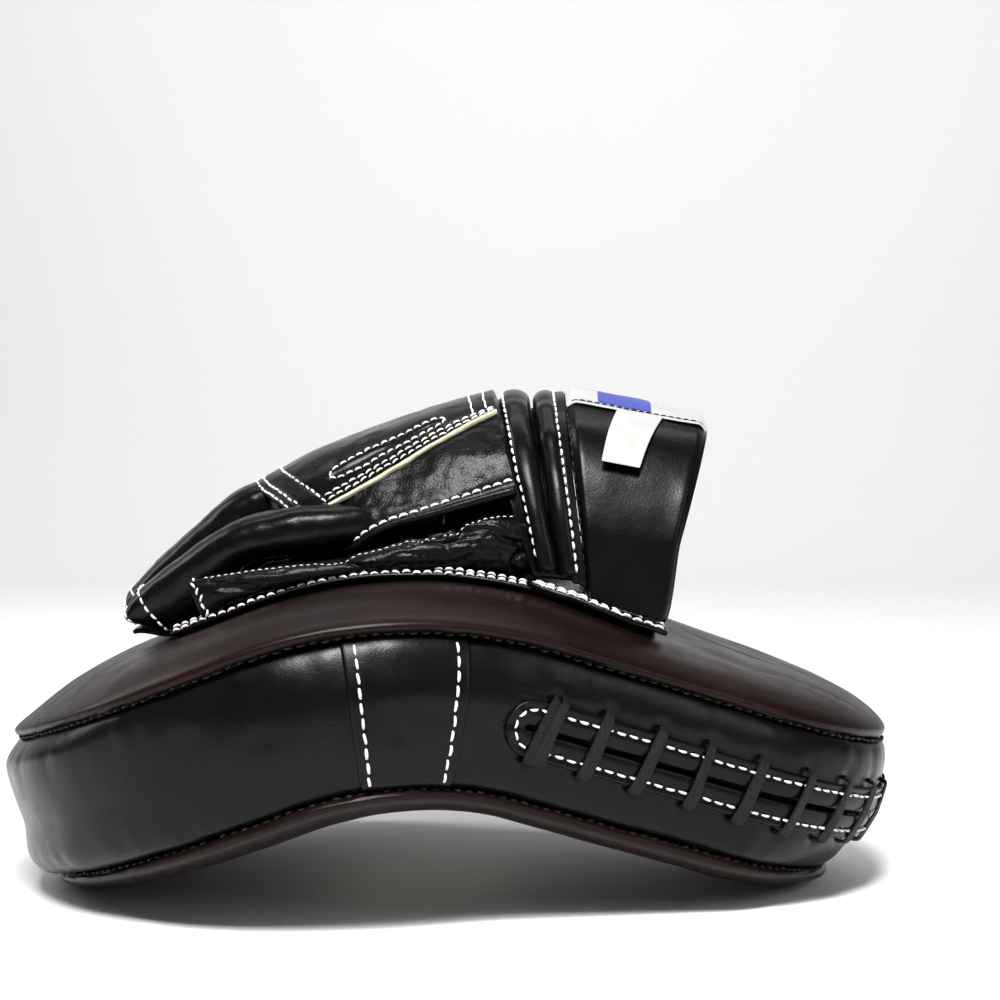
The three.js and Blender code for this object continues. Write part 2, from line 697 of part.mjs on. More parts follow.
function wristStrap() {
  const whole = (name, span, low, high, outer, thickness, steps, look) =>
    add(
      name,
      sheet(strap, ...span, always(low), always(high), outer, thickness, STRAP_STEPS, steps),
      look,
    );
  const on = (name, piece, outer, thickness, steps, look) =>
    whole(name, piece.span, piece.low, piece.high, outer, thickness, steps, look);
  const { leather, patch, shoulder, hinge } = STRAP;
  whole("strap_wall", [0, 1], STRAP.wallStart, shoulder - hinge, 0, leather, 4, BLACK);
  whole("strap_flap", [0, 1], shoulder + hinge, STRAP.end, 0, leather, 14, BLACK);
  const hookOuter = leather + GAP;
  const loopOuter = hookOuter + patch + GAP;
  const underOuter = loopOuter + patch + GAP;
  on("hook_patch", HOOK, hookOuter, patch, 8, TOUCH);
  on("loop_patch", LOOP, loopOuter, patch, 10, TOUCH);
  on("cuff_under_flap", UNDER, underOuter, STRAP.underLeather, 12, BLACK);
  on("woven_label", LABEL, -LABEL.thickness - GAP, LABEL.thickness, 5, WHITE);
  on("care_tag", TAG, -TAG.thickness - GAP, TAG.thickness, 4, WHITE);
}

panels();
foam();
walls();
lace();
handCover();
add("wrist_roll_front", archRoll(ARCH.rollFront), BLACK);
add("wrist_roll_rear", archRoll(ARCH.rollRear), BLACK);
stalls();
soleAndFeet();
wristStrap();

// The origin is the centre of the footprint, on the surface that the mitt lies on.
const bounds = new THREE.Box3().setFromObject(mitt);
const centre = bounds.getCenter(new THREE.Vector3());
mitt.position.set(-centre.x, -centre.y, -bounds.min.z);

export default mitt;
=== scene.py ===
"""Focus mitt: leather, stitching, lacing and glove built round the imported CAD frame.

Shapes are worked out in millimetres in the mitt's own frame, whose origin is the middle of the
pad at its bend, and put in place by place(). The pad is drawn flat as (s, y, n) and bent.
"""
import math

import bmesh
import bpy
import numpy as np
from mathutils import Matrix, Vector


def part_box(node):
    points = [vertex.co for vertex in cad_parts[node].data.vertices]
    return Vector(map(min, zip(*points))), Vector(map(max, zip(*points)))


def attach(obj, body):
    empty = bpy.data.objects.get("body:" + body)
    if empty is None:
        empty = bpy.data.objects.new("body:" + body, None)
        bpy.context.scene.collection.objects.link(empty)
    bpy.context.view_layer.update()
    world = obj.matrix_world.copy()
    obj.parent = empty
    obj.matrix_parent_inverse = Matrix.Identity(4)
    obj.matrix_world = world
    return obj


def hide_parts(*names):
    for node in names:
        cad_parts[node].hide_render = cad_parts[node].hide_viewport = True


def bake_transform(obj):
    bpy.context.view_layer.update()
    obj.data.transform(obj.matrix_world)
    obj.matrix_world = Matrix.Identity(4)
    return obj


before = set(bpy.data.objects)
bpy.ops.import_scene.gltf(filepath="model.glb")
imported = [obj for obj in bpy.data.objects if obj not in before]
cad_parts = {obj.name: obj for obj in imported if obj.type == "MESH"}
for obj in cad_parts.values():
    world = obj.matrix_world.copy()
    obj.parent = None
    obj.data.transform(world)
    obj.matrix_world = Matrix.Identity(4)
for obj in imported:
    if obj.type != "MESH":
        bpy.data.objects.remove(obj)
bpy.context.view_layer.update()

# ---- the pad's driving sizes, in millimetres ----
FINGER_RADIUS, WRIST_RADIUS = 100.0, 66.0
FINGER_CENTRE, WRIST_CENTRE = -24.2, 73.8
BEND_RADIUS = 102.9
HALF_BEND = math.radians(20.17)
TILT = math.radians(-1.42)
CAD_CROWN = 30.45  # back panel's height over the mid-surface in the CAD frame
FACE = 29.45
SEAM = 20.3  # height of the seams over and under the mid-surface
TAPER = math.asin((FINGER_RADIUS - WRIST_RADIUS) / (WRIST_CENTRE - FINGER_CENTRE))
FINGER_ARC = FINGER_RADIUS * (math.pi / 2 + TAPER)
SIDE = (WRIST_CENTRE - FINGER_CENTRE) * math.cos(TAPER)
HALF_OUTLINE = FINGER_ARC + SIDE + WRIST_RADIUS * (math.pi / 2 - TAPER)
OUTLINE = 2 * HALF_OUTLINE
OUTSIDE = -20  # inset of the line that outward directions point to
MIDDLE = (FINGER_CENTRE + WRIST_CENTRE) / 2
WALL_TOP = SEAM - 0.15
PAD_MIDDLE = (0, 0, -8)
JOIN_FROM, JOIN_TO = 169.5, 199.7  # side panel, along the outline
LACE_FROM, FIRST_BAR, BARS = 211.0, 221.5, 19
HOLE_HEIGHT, SLANT = 9.4, 3.4

# The mitt frame's origin in the row frame, from the boxes of two CAD nodes.
APEX_TOP = BEND_RADIUS + CAD_CROWN - BEND_RADIUS * math.cos(TILT)
TARGET_INNER = BEND_RADIUS - FACE - 2.5
target_low, target_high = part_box("target_disc")
ORIGIN = np.array([
    (target_low.x + target_high.x) * 500 + (BEND_RADIUS - TARGET_INNER) * math.sin(TILT),
    0.0,
    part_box("back_panel")[1].z * 1000 - APEX_TOP,
])


def place(p):
    """Mitt frame in millimetres to row frame in metres."""
    return (np.asarray(p, float) + ORIGIN) * 0.001


# ---- camera and light ----
VIEW_TARGET = Vector(place((24.2, 0.0, 51.9)))
VIEW_AZIMUTH, VIEW_ELEVATION = math.radians(1.66), math.radians(2.1)
VIEW_DISTANCE, LENS = 0.6869, 82.0


def linked(name, data):
    obj = bpy.data.objects.new(name, data)
    bpy.context.collection.objects.link(obj)
    return obj


def look_at(obj, target):
    obj.rotation_euler = (target - obj.location).to_track_quat("-Z", "Y").to_euler()


def camera():
    """Almost level view from the thumb side."""
    data = bpy.data.cameras.new("view")
    data.lens, data.sensor_width = LENS, 36.0
    cam = linked("view", data)
    flat = math.cos(VIEW_ELEVATION)
    away = Vector((
        math.sin(VIEW_AZIMUTH) * flat, -math.cos(VIEW_AZIMUTH) * flat, math.sin(VIEW_ELEVATION),
    ))
    cam.location = VIEW_TARGET + VIEW_DISTANCE * away
    look_at(cam, VIEW_TARGET)
    bpy.context.scene.camera = cam


def softbox(name, location, size, power):
    data = bpy.data.lights.new(name, "AREA")
    data.shape = "RECTANGLE"
    data.size, data.size_y = size
    data.energy = power
    light = linked(name, data)
    light.location = location
    look_at(light, VIEW_TARGET)


camera()

# ---- smooth noise ----
TABLE = np.random.default_rng(7).uniform(-1, 1, 4096)


def noise(p, size, seed=0):
    """Value noise of points p (..., 3), with cells of the given size; from -1 to 1."""
    q = np.asarray(p, float) / size + seed * 17.31
    cell = np.floor(q).astype(np.int64)
    f = q - cell
    f = f * f * (3 - 2 * f)
    total = 0.0
    for corner in range(8):
        step = np.array([corner & 1, (corner >> 1) & 1, corner >> 2])
        c = cell + step
        key = (c[..., 0] * 73856093) ^ (c[..., 1] * 19349663) ^ (c[..., 2] * 83492791)
        weight = np.prod(np.where(step, f, 1 - f), axis=-1)
        total = total + weight * TABLE[np.mod(key + seed * 131, 4096)]
    return total


def smooth(x, low, high):
    t = np.clip((np.asarray(x, float) - low) / (high - low), 0, 1)
    return t * t * (3 - 2 * t)


def mix(a, b, t):
    return a + (b - a) * t


def curve(points):
    """Catmull-Rom function through rows of points, of a parameter from 0 to 1."""
    pts = np.asarray(points, float)
    ends = np.vstack([2 * pts[0] - pts[1], pts, 2 * pts[-1] - pts[-2]])

    def at(t):
        x = np.clip(np.asarray(t, float), 0, 1) * (len(pts) - 1)
        i = np.minimum(x.astype(int), len(pts) - 2)
        f = (x - i)[..., None]
        a, b, c, d = ends[i], ends[i + 1], ends[i + 2], ends[i + 3]
        return 0.5 * (2 * b + (c - a) * f + (2 * a - 5 * b + 4 * c - d) * f**2
                      + (3 * b - a - 3 * c + d) * f**3)
    return at


def unit(v):
    """Vectors at length 1."""
    return v / np.linalg.norm(v, axis=-1, keepdims=True)


def across_of(v, along):
    """Unit vectors nearest to v that are square to the unit vectors along."""
    return unit(v - (v * along).sum(-1, keepdims=True) * along)


def tangents(path):
    return unit(np.gradient(path, axis=0))


def blunt(x, power):
    """x with its size raised to a power and its sign kept."""
    return np.sign(x) * np.abs(x) ** power


def turns(count):
    """Cosines and sines of equal steps round a circle."""
    angle = np.arange(count) * 2 * np.pi / count
    return np.cos(angle), np.sin(angle)


def dent(x, width):
    """1 at x = 0, falling smoothly to 0 over the width."""
    return np.exp(-(x / width) ** 2)


# ---- the pad's frame ----
def outline(l, inset=0.0):
    """(s, y) at outline length l, from the finger tip along the thumb side and round."""
    l = np.mod(l, OUTLINE)
    side = np.where(l <= HALF_OUTLINE, -1.0, 1.0)
    along = np.where(l <= HALF_OUTLINE, l, OUTLINE - l)
    k = np.clip((along - FINGER_ARC) / SIDE, 0, 1)
    turn = np.where(
        along < FINGER_ARC, along / FINGER_RADIUS,
        math.pi / 2 + TAPER + np.maximum(along - FINGER_ARC - SIDE, 0) / WRIST_RADIUS,
    )
    radius = mix(FINGER_RADIUS, WRIST_RADIUS, k) - inset
    s = mix(FINGER_CENTRE, WRIST_CENTRE, k) - radius * np.cos(turn)
    return s, side * radius * np.sin(turn)


def edge_distance(s, y):
    """Distance of (s, y) inwards from the pad's outline."""
    ds, dy = s - FINGER_CENTRE, np.abs(y)
    along = ds * math.cos(TAPER) - dy * math.sin(TAPER)
    return np.where(
        along < 0, FINGER_RADIUS - np.hypot(ds, dy),
        np.where(along > SIDE, WRIST_RADIUS - np.hypot(s - WRIST_CENTRE, dy),
                 FINGER_RADIUS - ds * math.sin(TAPER) - dy * math.cos(TAPER)),
    )


def bend(s, y, n):
    """Points of the mitt frame at (s, y) on the flat pad and height n over its mid-surface."""
    s, y, n = np.broadcast_arrays(*(np.asarray(v, float) for v in (s, y, n)))
    a = np.clip(s / BEND_RADIUS, -HALF_BEND, HALF_BEND)
    arm, r = s - a * BEND_RADIUS, BEND_RADIUS + n
    x = r * np.sin(a) + arm * np.cos(a)
    z = r * np.cos(a) - BEND_RADIUS - arm * np.sin(a)
    c, w = math.cos(TILT), math.sin(TILT)
    return np.stack([x * c + z * w, y, -x * w + z * c], -1)


# The pad's section over a seam, as (inset, height): along its sides, and at the finger end.
SIDE_SECTION = np.array([
    (5.6, 0.2), (3.4, 0.25), (1.6, 0.6), (0.6, 1.4), (0.5, 2.5), (1.5, 3.7),
    (4.2, 5.3), (10.0, 7.7), (19.0, 9.5), (29.0, 10.2), (40.0, 10.5),
])
TIP_SECTION = np.array([
    (9.2, 0.2), (8.0, 0.25), (6.6, 0.6), (5.5, 1.5), (5.3, 2.7), (7.0, 3.9),
    (12.0, 5.5), (20.0, 8.1), (28.5, 10.2), (40.0, 11.6), (52.0, 11.9),
])
WRIST_SECTION = np.array([
    (6.4, 0.2), (5.0, 0.25), (3.6, 0.6), (2.6, 1.5), (2.2, 2.9), (2.8, 4.3),
    (5.4, 6.1), (10.5, 8.1), (19.0, 9.7), (29.0, 10.3), (40.0, 10.5),
])
PLATEAU = 12.0


def tip_share(s):
    """How far the section has turned into the finger end's."""
    return smooth(-s, 62, 121)


def wrist_share(s):
    return smooth(s, 98, 139)


def crown_height(s, y):
    """Height of the back panel's crown over the mid-surface."""
    d = edge_distance(s, y)
    side, tip = (np.interp(d, np.r_[low[:, 0], 80], np.r_[low[:, 1], PLATEAU])
                 for low in (SIDE_SECTION[4:], TIP_SECTION[4:]))
    return SEAM + mix(side, tip, tip_share(s))


def flat(a, b):
    """Points (a, b, 0)."""
    return np.stack([a, b, 0 * a], -1)


def on_back(s, y, lift):
    return bend(s, y, crown_height(s, y) + lift)


# ---- meshes ----
class Surface:
    """A patch point(u, v) with relief(u, v, p) along its normal, which points away from inside."""

    def __init__(self, point, inside, relief=None):
        self.point, self.relief = point, relief
        self.inside = np.asarray(inside, float)
        self.sign = 1.0
        u, v = np.meshgrid([0.3, 0.5, 0.7], [0.3, 0.5, 0.7])
        facing = (self._normal(self.point, u, v) * (point(u, v) - self.inside)).sum()
        self.sign = 1.0 if facing > 0 else -1.0

    def _normal(self, f, u, v):
        e = 1e-3
        du = f(u + e, v) - f(u - e, v)
        dv = f(u, v + e) - f(u, v - e)
        n = np.cross(du, dv)
        return self.sign * n / np.maximum(np.linalg.norm(n, axis=-1, keepdims=True), 1e-12)

    def at(self, u, v, lift=0.0):
        p = self.point(u, v)
        raised = lift + (self.relief(u, v, p) if self.relief else 0.0)
        return p + self._normal(self.point, u, v) * np.asarray(raised)[..., None]

    def true_normal(self, u, v):
        return self._normal(self.at, u, v)


def new_mesh(name, points, faces, material):
    """A mesh in the scene, from points of the mitt frame."""
    mesh = bpy.data.meshes.new(name)
    mesh.from_pydata(place(points).tolist(), [], faces)
    mesh.validate()
    mesh.materials.append(material)
    mesh.shade_smooth()
    return linked(name, mesh)


def apply_modifiers(obj):
    graph = bpy.context.evaluated_depsgraph_get()
    made = bpy.data.meshes.new_from_object(obj.evaluated_get(graph))
    obj.modifiers.clear()
    obj.data = made
    made.shade_smooth()
    return obj


def grid_faces(rows, cols, keep=None, wrap=False):
    """Quads of a grid of points, row by row, where keep allows them; wrap closes each row."""
    faces = []
    for i in range(rows - 1):
        for j in range(cols if wrap else cols - 1):
            if keep is None or keep[i, j]:
                k = (j + 1) % cols
                faces.append((i * cols + j, i * cols + k, (i + 1) * cols + k, (i + 1) * cols + j))
    return faces


def facing_out(points, faces, inside):
    """The faces, turned if they look towards the point inside."""
    p = points[np.array([f[:3] for f in faces])]
    n = np.cross(p[:, 1] - p[:, 0], p[:, 2] - p[:, 0])
    if (n * (p[:, 0] - inside)).sum() < 0:
        return [tuple(reversed(f)) for f in faces]
    return faces


def thickened(obj, thickness, levels=0):
    """The mesh with a thickness in millimetres, inwards, and then subdivided."""
    solid = obj.modifiers.new("thickness", "SOLIDIFY")
    solid.thickness, solid.offset = thickness * 0.001, -1
    return subdivided(obj, levels)


def subdivided(obj, levels=1):
    if levels:
        sub = obj.modifiers.new("smooth", "SUBSURF")
        sub.levels = sub.render_levels = levels
    return apply_modifiers(obj)


def skin(name, surface, us, vs, thickness, material, keep=None):
    """Leather sheet of the given thickness under a Surface; us and vs are rows or their count."""
    us, vs = (np.linspace(0, 1, w) if isinstance(w, int) else w for w in (us, vs))
    u, v = np.meshgrid(us, vs, indexing="ij")
    p = surface.at(u, v).reshape(-1, 3)
    faces = facing_out(p, grid_faces(len(us), len(vs), keep), surface.inside)
    obj = new_mesh(name, p, faces, material)
    drop_loose(obj)
    return thickened(obj, thickness, 1)


def drop_loose(obj):
    """Removes the vertices that no face uses."""
    used = np.zeros(len(obj.data.vertices), bool)
    for polygon in obj.data.polygons:
        used[list(polygon.vertices)] = True
    if not used.all():
        with_bmesh(obj, lambda bm: bmesh.ops.delete(
            bm, geom=[v for v in bm.verts if not used[v.index]], context="VERTS"))


def with_bmesh(obj, edit):
    bm = bmesh.new()
    bm.from_mesh(obj.data)
    edit(bm)
    bm.to_mesh(obj.data)
    bm.free()


def closed_tube(name, rings, material, levels=1):
    """Tube through rings (n, m, 3), with rounded ends."""
    rings = np.asarray(rings, float)
    n, m = rings.shape[:2]
    points = np.vstack([rings.reshape(-1, 3), rings[0].mean(0), rings[-1].mean(0)])
    faces = grid_faces(n, m, wrap=True)
    for j in range(m):
        k = (j + 1) % m
        faces.append((n * m, k, j))
        faces.append((n * m + 1, (n - 1) * m + j, (n - 1) * m + k))
    obj = new_mesh(name, points, faces, material)
    with_bmesh(obj, lambda bm: bmesh.ops.recalc_face_normals(bm, faces=bm.faces))
    return subdivided(obj, levels)


def swept(centre, side, up, widths, heights):
    """Rings (n, m, 3) round a centre line, by half width and height, and their outward units."""
    ring = side[:, None] * widths[..., None] + up[:, None] * heights[..., None]
    return centre[:, None] + ring, unit(ring)


def tube_ends(rings, sides):
    """Faces that close both ends of a tube."""
    last = (rings - 1) * sides
    return [tuple(reversed(range(sides))), tuple(range(last, last + sides))]


def join_meshes(name, parts, material):
    """One mesh from (points, faces) pairs."""
    points, faces, base = [], [], 0
    for p, f in parts:
        points.append(p)
        faces.extend(tuple(i + base for i in face) for face in f)
        base += len(p)
    return new_mesh(name, np.vstack(points), faces, material)


THREAD_SIDES, THREAD_RINGS = 6, 7


def stitch(a, b, out, radius, dip):
    """One thread stitch from a to b over the surface whose normal is out."""
    along = b - a
    length = np.linalg.norm(along)
    along = along / length
    side = np.cross(out, along)
    side /= np.linalg.norm(side)
    up = np.cross(along, side)
    t = np.linspace(0, 1, THREAD_RINGS)
    arch = np.sin(np.pi * t) ** 0.45
    centre = a + np.outer(t * length, along) + np.outer(arch * (radius + dip) - dip, up)
    thick = radius * (0.55 + 0.45 * np.sin(np.pi * t) ** 0.5)
    angle = np.arange(THREAD_SIDES) * 2 * np.pi / THREAD_SIDES
    rim = np.outer(np.cos(angle), side) + np.outer(np.sin(angle), up)
    points = centre[:, None] + thick[:, None, None] * rim[None]
    faces = grid_faces(THREAD_RINGS, THREAD_SIDES, wrap=True)
    faces += tube_ends(THREAD_RINGS, THREAD_SIDES)
    return points.reshape(-1, 3), [tuple(reversed(f)) for f in faces]


ROWS = {  # pitch, share of it where thread shows, thread's radius, dip of its ends, wobble
    "side_panel": (4.1, 0.8, 0.42, 0.3, 0.14),
    "pad_seam": (3.3, 0.66, 0.38, 0.4, 0.2),
    "target": (3.6, 0.68, 0.3, 0.2, 0.06),
    "facing": (3.75, 0.68, 0.37, 0.25, 0.08),
    "hand_back_side": (2.9, 0.82, 0.31, 0.15, 0.16),
    "hand_back_across": (2.9, 0.8, 0.34, 0.15, 0.12),
    "vent": (2.7, 0.8, 0.32, 0.15, 0.16),
    "knuckle_band": (2.8, 0.74, 0.36, 0.2, 0.15),
    "stall_mouth": (2.9, 0.78, 0.36, 0.15, 0.12),
    "thumb_side": (3.1, 0.84, 0.42, 0.2, 0.12),
    "thumb_mouth": (2.3, 0.85, 0.36, 0.15, 0.6),
    "thumb_ridge": (2.0, 0.6, 0.15, 0.15, 0.05),
    "far_side": (3.0, 0.8, 0.4, 0.15, 0.2),
    "wrist": (3.2, 0.78, 0.38, 0.15, 0.08),
    "sole": (3.0, 0.78, 0.42, 0.1, 0.25),
    "tab": (2.9, 0.75, 0.4, 0.1, 0.2),
    "foot": (3.3, 0.86, 0.44, 0.1, 0.4),
    "foot_frayed": (5.3, 0.5, 0.24, -0.1, 0.7),
    "strap": (3.4, 0.7, 0.3, 0.3, 0.08),
    "label": (2.2, 0.96, 0.22, 0.1, 0.05),
}


def row_stitches(path, normals, kind, seed):
    """Stitches of a kind of ROWS along a path on a surface, as a list for join_meshes."""
    pitch, share, radius, dip, wobble = ROWS[kind]
    rng = np.random.default_rng(seed)
    step = np.r_[0, np.cumsum(np.linalg.norm(np.diff(path, axis=0), axis=1))]
    count = max(1, int(round(step[-1] / pitch)))
    pitch = step[-1] / count
    parts = []
    for i in range(count):
        start = (i + 0.5 * (1 - share)) * pitch
        ends = start + np.array([0, share * pitch])
        a, b = (np.array([np.interp(e, step, path[:, k]) for k in range(3)]) for e in ends)
        n = np.array([np.interp(ends.mean(), step, normals[:, k]) for k in range(3)])
        n /= np.linalg.norm(n)
        across = np.cross(n, b - a)
        across /= np.linalg.norm(across) + 1e-9
        a = a + across * rng.normal(0, wobble)
        b = b + across * rng.normal(0, wobble)
        parts.append(stitch(a, b, n, radius * rng.uniform(0.9, 1.1), dip))
    return parts


def on_surface(surface, u, v, lift=0.0):
    """Points and normals along a line (u, v) on a Surface."""
    u, v = np.broadcast_arrays(np.asarray(u, float), np.asarray(v, float))
    return surface.at(u, v, lift), surface.true_normal(u, v)


def sewn_row(surface, u, v, kind, seed):
    """Stitches along a line (u, v) on a Surface."""
    return row_stitches(*on_surface(surface, u, v), kind, seed)


# ---- materials ----
class Look:
    """A material: a Principled shader fed by textures in object coordinates."""

    def __init__(self, name, **values):
        self.material = bpy.data.materials.new(name)
        self.material.use_nodes = True
        self.tree = self.material.node_tree
        self.tree.nodes.clear()
        self.shader = self.node("ShaderNodeBsdfPrincipled", **values)
        self.node("ShaderNodeOutputMaterial", Surface=self.shader.outputs["BSDF"])
        self.coords = self.node("ShaderNodeTexCoord").outputs["Object"]

    def node(self, kind, **values):
        """A node with its inputs, with _ for a space, and its settings, by name."""
        node = self.tree.nodes.new(kind)
        for key, value in values.items():
            socket = node.inputs.get(key.replace("_", " "))
            if isinstance(value, bpy.types.NodeSocket):
                self.tree.links.new(value, socket)
            elif socket:
                socket.default_value = value
            else:
                setattr(node, key, value)
        return node

    def texture(self, kind, output="Fac", **values):
        return self.node("ShaderNodeTex" + kind, Vector=self.coords, **values).outputs[output]

    def noise(self, scale, detail=3.0, rough=0.5, **more):
        return self.texture("Noise", Scale=scale, Detail=detail, Roughness=rough, **more)

    def vary(self, texture, low, high, stops=(0.3, 0.7), target="Base Color"):
        """Lets a texture drive one of the shader's inputs from low to high."""
        ramp = self.node("ShaderNodeValToRGB", Fac=texture)
        for element, position, colour in zip(ramp.color_ramp.elements, stops, (low, high)):
            element.position = position
            element.color = (*colour, 1)
        self.tree.links.new(ramp.outputs["Color"], self.shader.inputs[target])

    def bumps(self, *layers):
        """Chain of Bump nodes, from (height texture, distance in metres, strength)."""
        normal = {}
        for height, distance, strength in layers:
            bump = self.node("ShaderNodeBump", Height=height, Distance=distance,
                             Strength=strength, **normal)
            normal = {"Normal": bump.outputs["Normal"]}
        self.tree.links.new(normal["Normal"], self.shader.inputs["Normal"])


def leather(name, dark, light, rough=(0.3, 0.46), grain=0.00006, crease=0.00012, coat=0.03,
            shine=0.12):
    """Smooth finished leather: fine pores, soft creases, uneven colour and gloss."""
    look = Look(name, Specular_IOR_Level=shine, Coat_Weight=coat, Coat_Roughness=0.28)
    look.vary(look.noise(22.0, 5.0, 0.62), dark, light, (0.3, 0.72))
    look.vary(look.noise(75.0, 5.0, 0.65), (rough[0],) * 3, (rough[1],) * 3, target="Roughness")
    pores = look.texture("Voronoi", "Distance", feature="DISTANCE_TO_EDGE", Scale=1150.0)
    creases = look.noise(130.0, 6.0, 0.6, noise_type="RIDGED_MULTIFRACTAL")
    look.bumps(
        (look.noise(45.0, 2.0, 0.5), 0.0006, 0.5),
        (creases, crease, 0.35),
        (look.noise(620.0, 4.0, 0.6), grain * 1.5, 0.6),
        (pores, grain, 0.5),
    )
    return look.material


def thread(name, colour, rough=0.6):
    """Twisted sewing thread."""
    look = Look(name, Roughness=rough, Sheen_Weight=0.08, Specular_IOR_Level=0.2)
    worn = tuple(0.72 * c for c in colour)
    look.vary(look.noise(160.0, 4.0, 0.6), worn, colour, (0.32, 0.62))
    twist = look.texture("Wave", bands_direction="DIAGONAL", Scale=520.0, Distortion=3.0)
    look.bumps((twist, 0.00012, 0.7))
    return look.material


def weave(name, colour, scale, depth, rough=0.85, sheen=0.3):
    """Woven cloth: waves across each other."""
    look = Look(name, Roughness=rough, Sheen_Weight=sheen, Specular_IOR_Level=0.2)
    waves = [look.texture("Wave", bands_direction=axis, Scale=scale, Distortion=0.6)
             for axis in "XYZ"]
    look.bumps(*((wave, depth, 0.6) for wave in waves))
    look.vary(look.noise(90.0, 5.0, 0.65), tuple(0.75 * c for c in colour), colour)
    return look.material


def foam_cells():
    look = Look("foam_cells", Roughness=0.95)
    look.vary(look.noise(60.0), (0.2, 0.2, 0.22), (0.3, 0.3, 0.32))
    look.bumps((look.texture("Voronoi", "Distance", Scale=700.0), 0.0004, 0.8))
    return look.material


BLACK = leather(
    "black_leather", (0.0009, 0.0009, 0.001), (0.0024, 0.0023, 0.0025), rough=(0.25, 0.34))
SOFT_BLACK = leather(
    "black_glove_leather", (0.0008, 0.0008, 0.0009), (0.0023, 0.0022, 0.0024),
    rough=(0.2, 0.33), grain=0.00008, crease=0.0003, coat=0.05)
GRAINED = leather(
    "black_grained_leather", (0.0008, 0.0008, 0.0009), (0.0024, 0.0023, 0.0025),
    rough=(0.24, 0.36), grain=0.0002, crease=0.0003, coat=0.04)
BROWN = leather(
    "brown_leather", (0.0038, 0.001, 0.0009), (0.0085, 0.0028, 0.0023),
    rough=(0.31, 0.43), grain=0.00006, crease=0.00016, coat=0.02, shine=0.11)
CREAM = leather(
    "cream_leather", (0.62, 0.6, 0.47), (0.76, 0.75, 0.62), rough=(0.45, 0.6), coat=0.02)
CUT_EDGE = leather(
    "cut_leather_edge", (0.33, 0.31, 0.2), (0.62, 0.6, 0.44), rough=(0.6, 0.8),
    grain=0.0002, crease=0.0003, coat=0.0)
WHITE_THREAD = thread("white_thread", (0.74, 0.73, 0.68))
BLACK_THREAD = thread("black_thread", (0.0022, 0.0022, 0.0022), 0.45)
LACE = weave("flat_lace", (0.0028, 0.0028, 0.0031), 900.0, 0.00022, 0.5, 0.01)
TOUCH = weave("touch_fastener", (0.008, 0.008, 0.009), 600.0, 0.0005, 0.95, 0.1)
LABEL = weave("label_weave", (0.44, 0.44, 0.43), 1300.0, 0.00005, 0.42, 0.15)
LABEL_BLUE = weave("label_blue_weave", (0.012, 0.03, 0.3), 1300.0, 0.00005, 0.4, 0.15)
SATIN = weave("satin_tag", (0.42, 0.42, 0.41), 1800.0, 0.00003, 0.36, 0.1)
FOAM = foam_cells()


# ---- pad: panels and walls ----
def panel_section(top, l):
    """Points (steps, l, 2) of the panel's section from the seam inwards."""
    s_rim, _ = outline(l)
    t = np.linspace(0, 1, 40) ** 1.1
    side, tip = curve(SIDE_SECTION)(t), curve(TIP_SECTION)(t)
    if top < 0:
        side = side * np.array([0.82, 0.9])
        tip = side + np.array([1.6, 0.0])
    share = tip_share(s_rim)[None, :, None]
    section = mix(side[:, None], tip[:, None], share)
    if top > 0:
        wrist = curve(WRIST_SECTION)(t)
        section = mix(section, wrist[:, None], wrist_share(s_rim)[None, :, None])
    lean = (-0.3 if top > 0 else 4.2) * wrist_share(s_rim)
    section[..., 0] += lean[None] * (1 - smooth(section[..., 0], 6, 34))
    return section


def panel_mesh(name, top, material, seed):
    """Crowned panel, rolled at its rim: top is +1 for the back and -1 for the striking face."""
    count = 440
    l = np.arange(count) * OUTLINE / count
    section = panel_section(top, l)
    rings = []
    for j, (d, n) in enumerate(zip(section[..., 0], section[..., 1])):
        pucker = 0.5 * dent(j - 9, 5.0)
        line = np.stack([l / 4.6, np.full(count, j * 0.35), np.full(count, float(seed))], -1)
        s, y = outline(l, d + pucker * noise(line, 1.0, seed))
        rings.append(bend(s, y, top * (SEAM + n + lumps(s, y, seed) * smooth(d, 3, 16))))
    s_edge, y_edge = outline(l, section[-1, :, 0])
    n_edge = section[-1, :, 1]
    inner = PLATEAU if top > 0 else n_edge.max()
    for k in np.linspace(0.965, 0.02, 32):
        s, y = mix(MIDDLE, s_edge, k), y_edge * k
        n = mix(n_edge, inner, smooth(1 - k, 0, 0.6))
        rings.append(bend(s, y, top * (SEAM + n + lumps(s, y, seed))))
    if top < 0:
        for ring in rings:
            ring[:, 2] = np.maximum(ring[:, 2], -ORIGIN[2])
    return thickened(capped(name, rings, material, (0, 0, -10)), 1.4)


def capped(name, rings, material, inside, end=-1):
    """Open surface through closed rings (n, m, 3), with a fan over the ring at one end."""
    rings = np.array(rings)
    n, m = rings.shape[:2]
    points = np.vstack([rings.reshape(-1, 3), rings[end].mean(0)])
    first = (end % n) * m
    faces = grid_faces(n, m, wrap=True)
    faces += [(first + j, first + (j + 1) % m, n * m) for j in range(m)]
    return new_mesh(name, points, facing_out(points, faces, np.array(inside, float)), material)


def lumps(s, y, seed):
    """Unevenness of the padding, and a few shallow creases across the finger end."""
    q = flat(s, y)
    value = 0.5 * noise(q, 30.0, seed) + 0.14 * noise(q, 9.0, seed + 3)
    crease = noise(q * np.array([0.35, 1.0, 1.0]), 17.0, seed + 5)
    return value - 0.5 * dent(crease, 0.06) * smooth(np.abs(s), 55, 95)


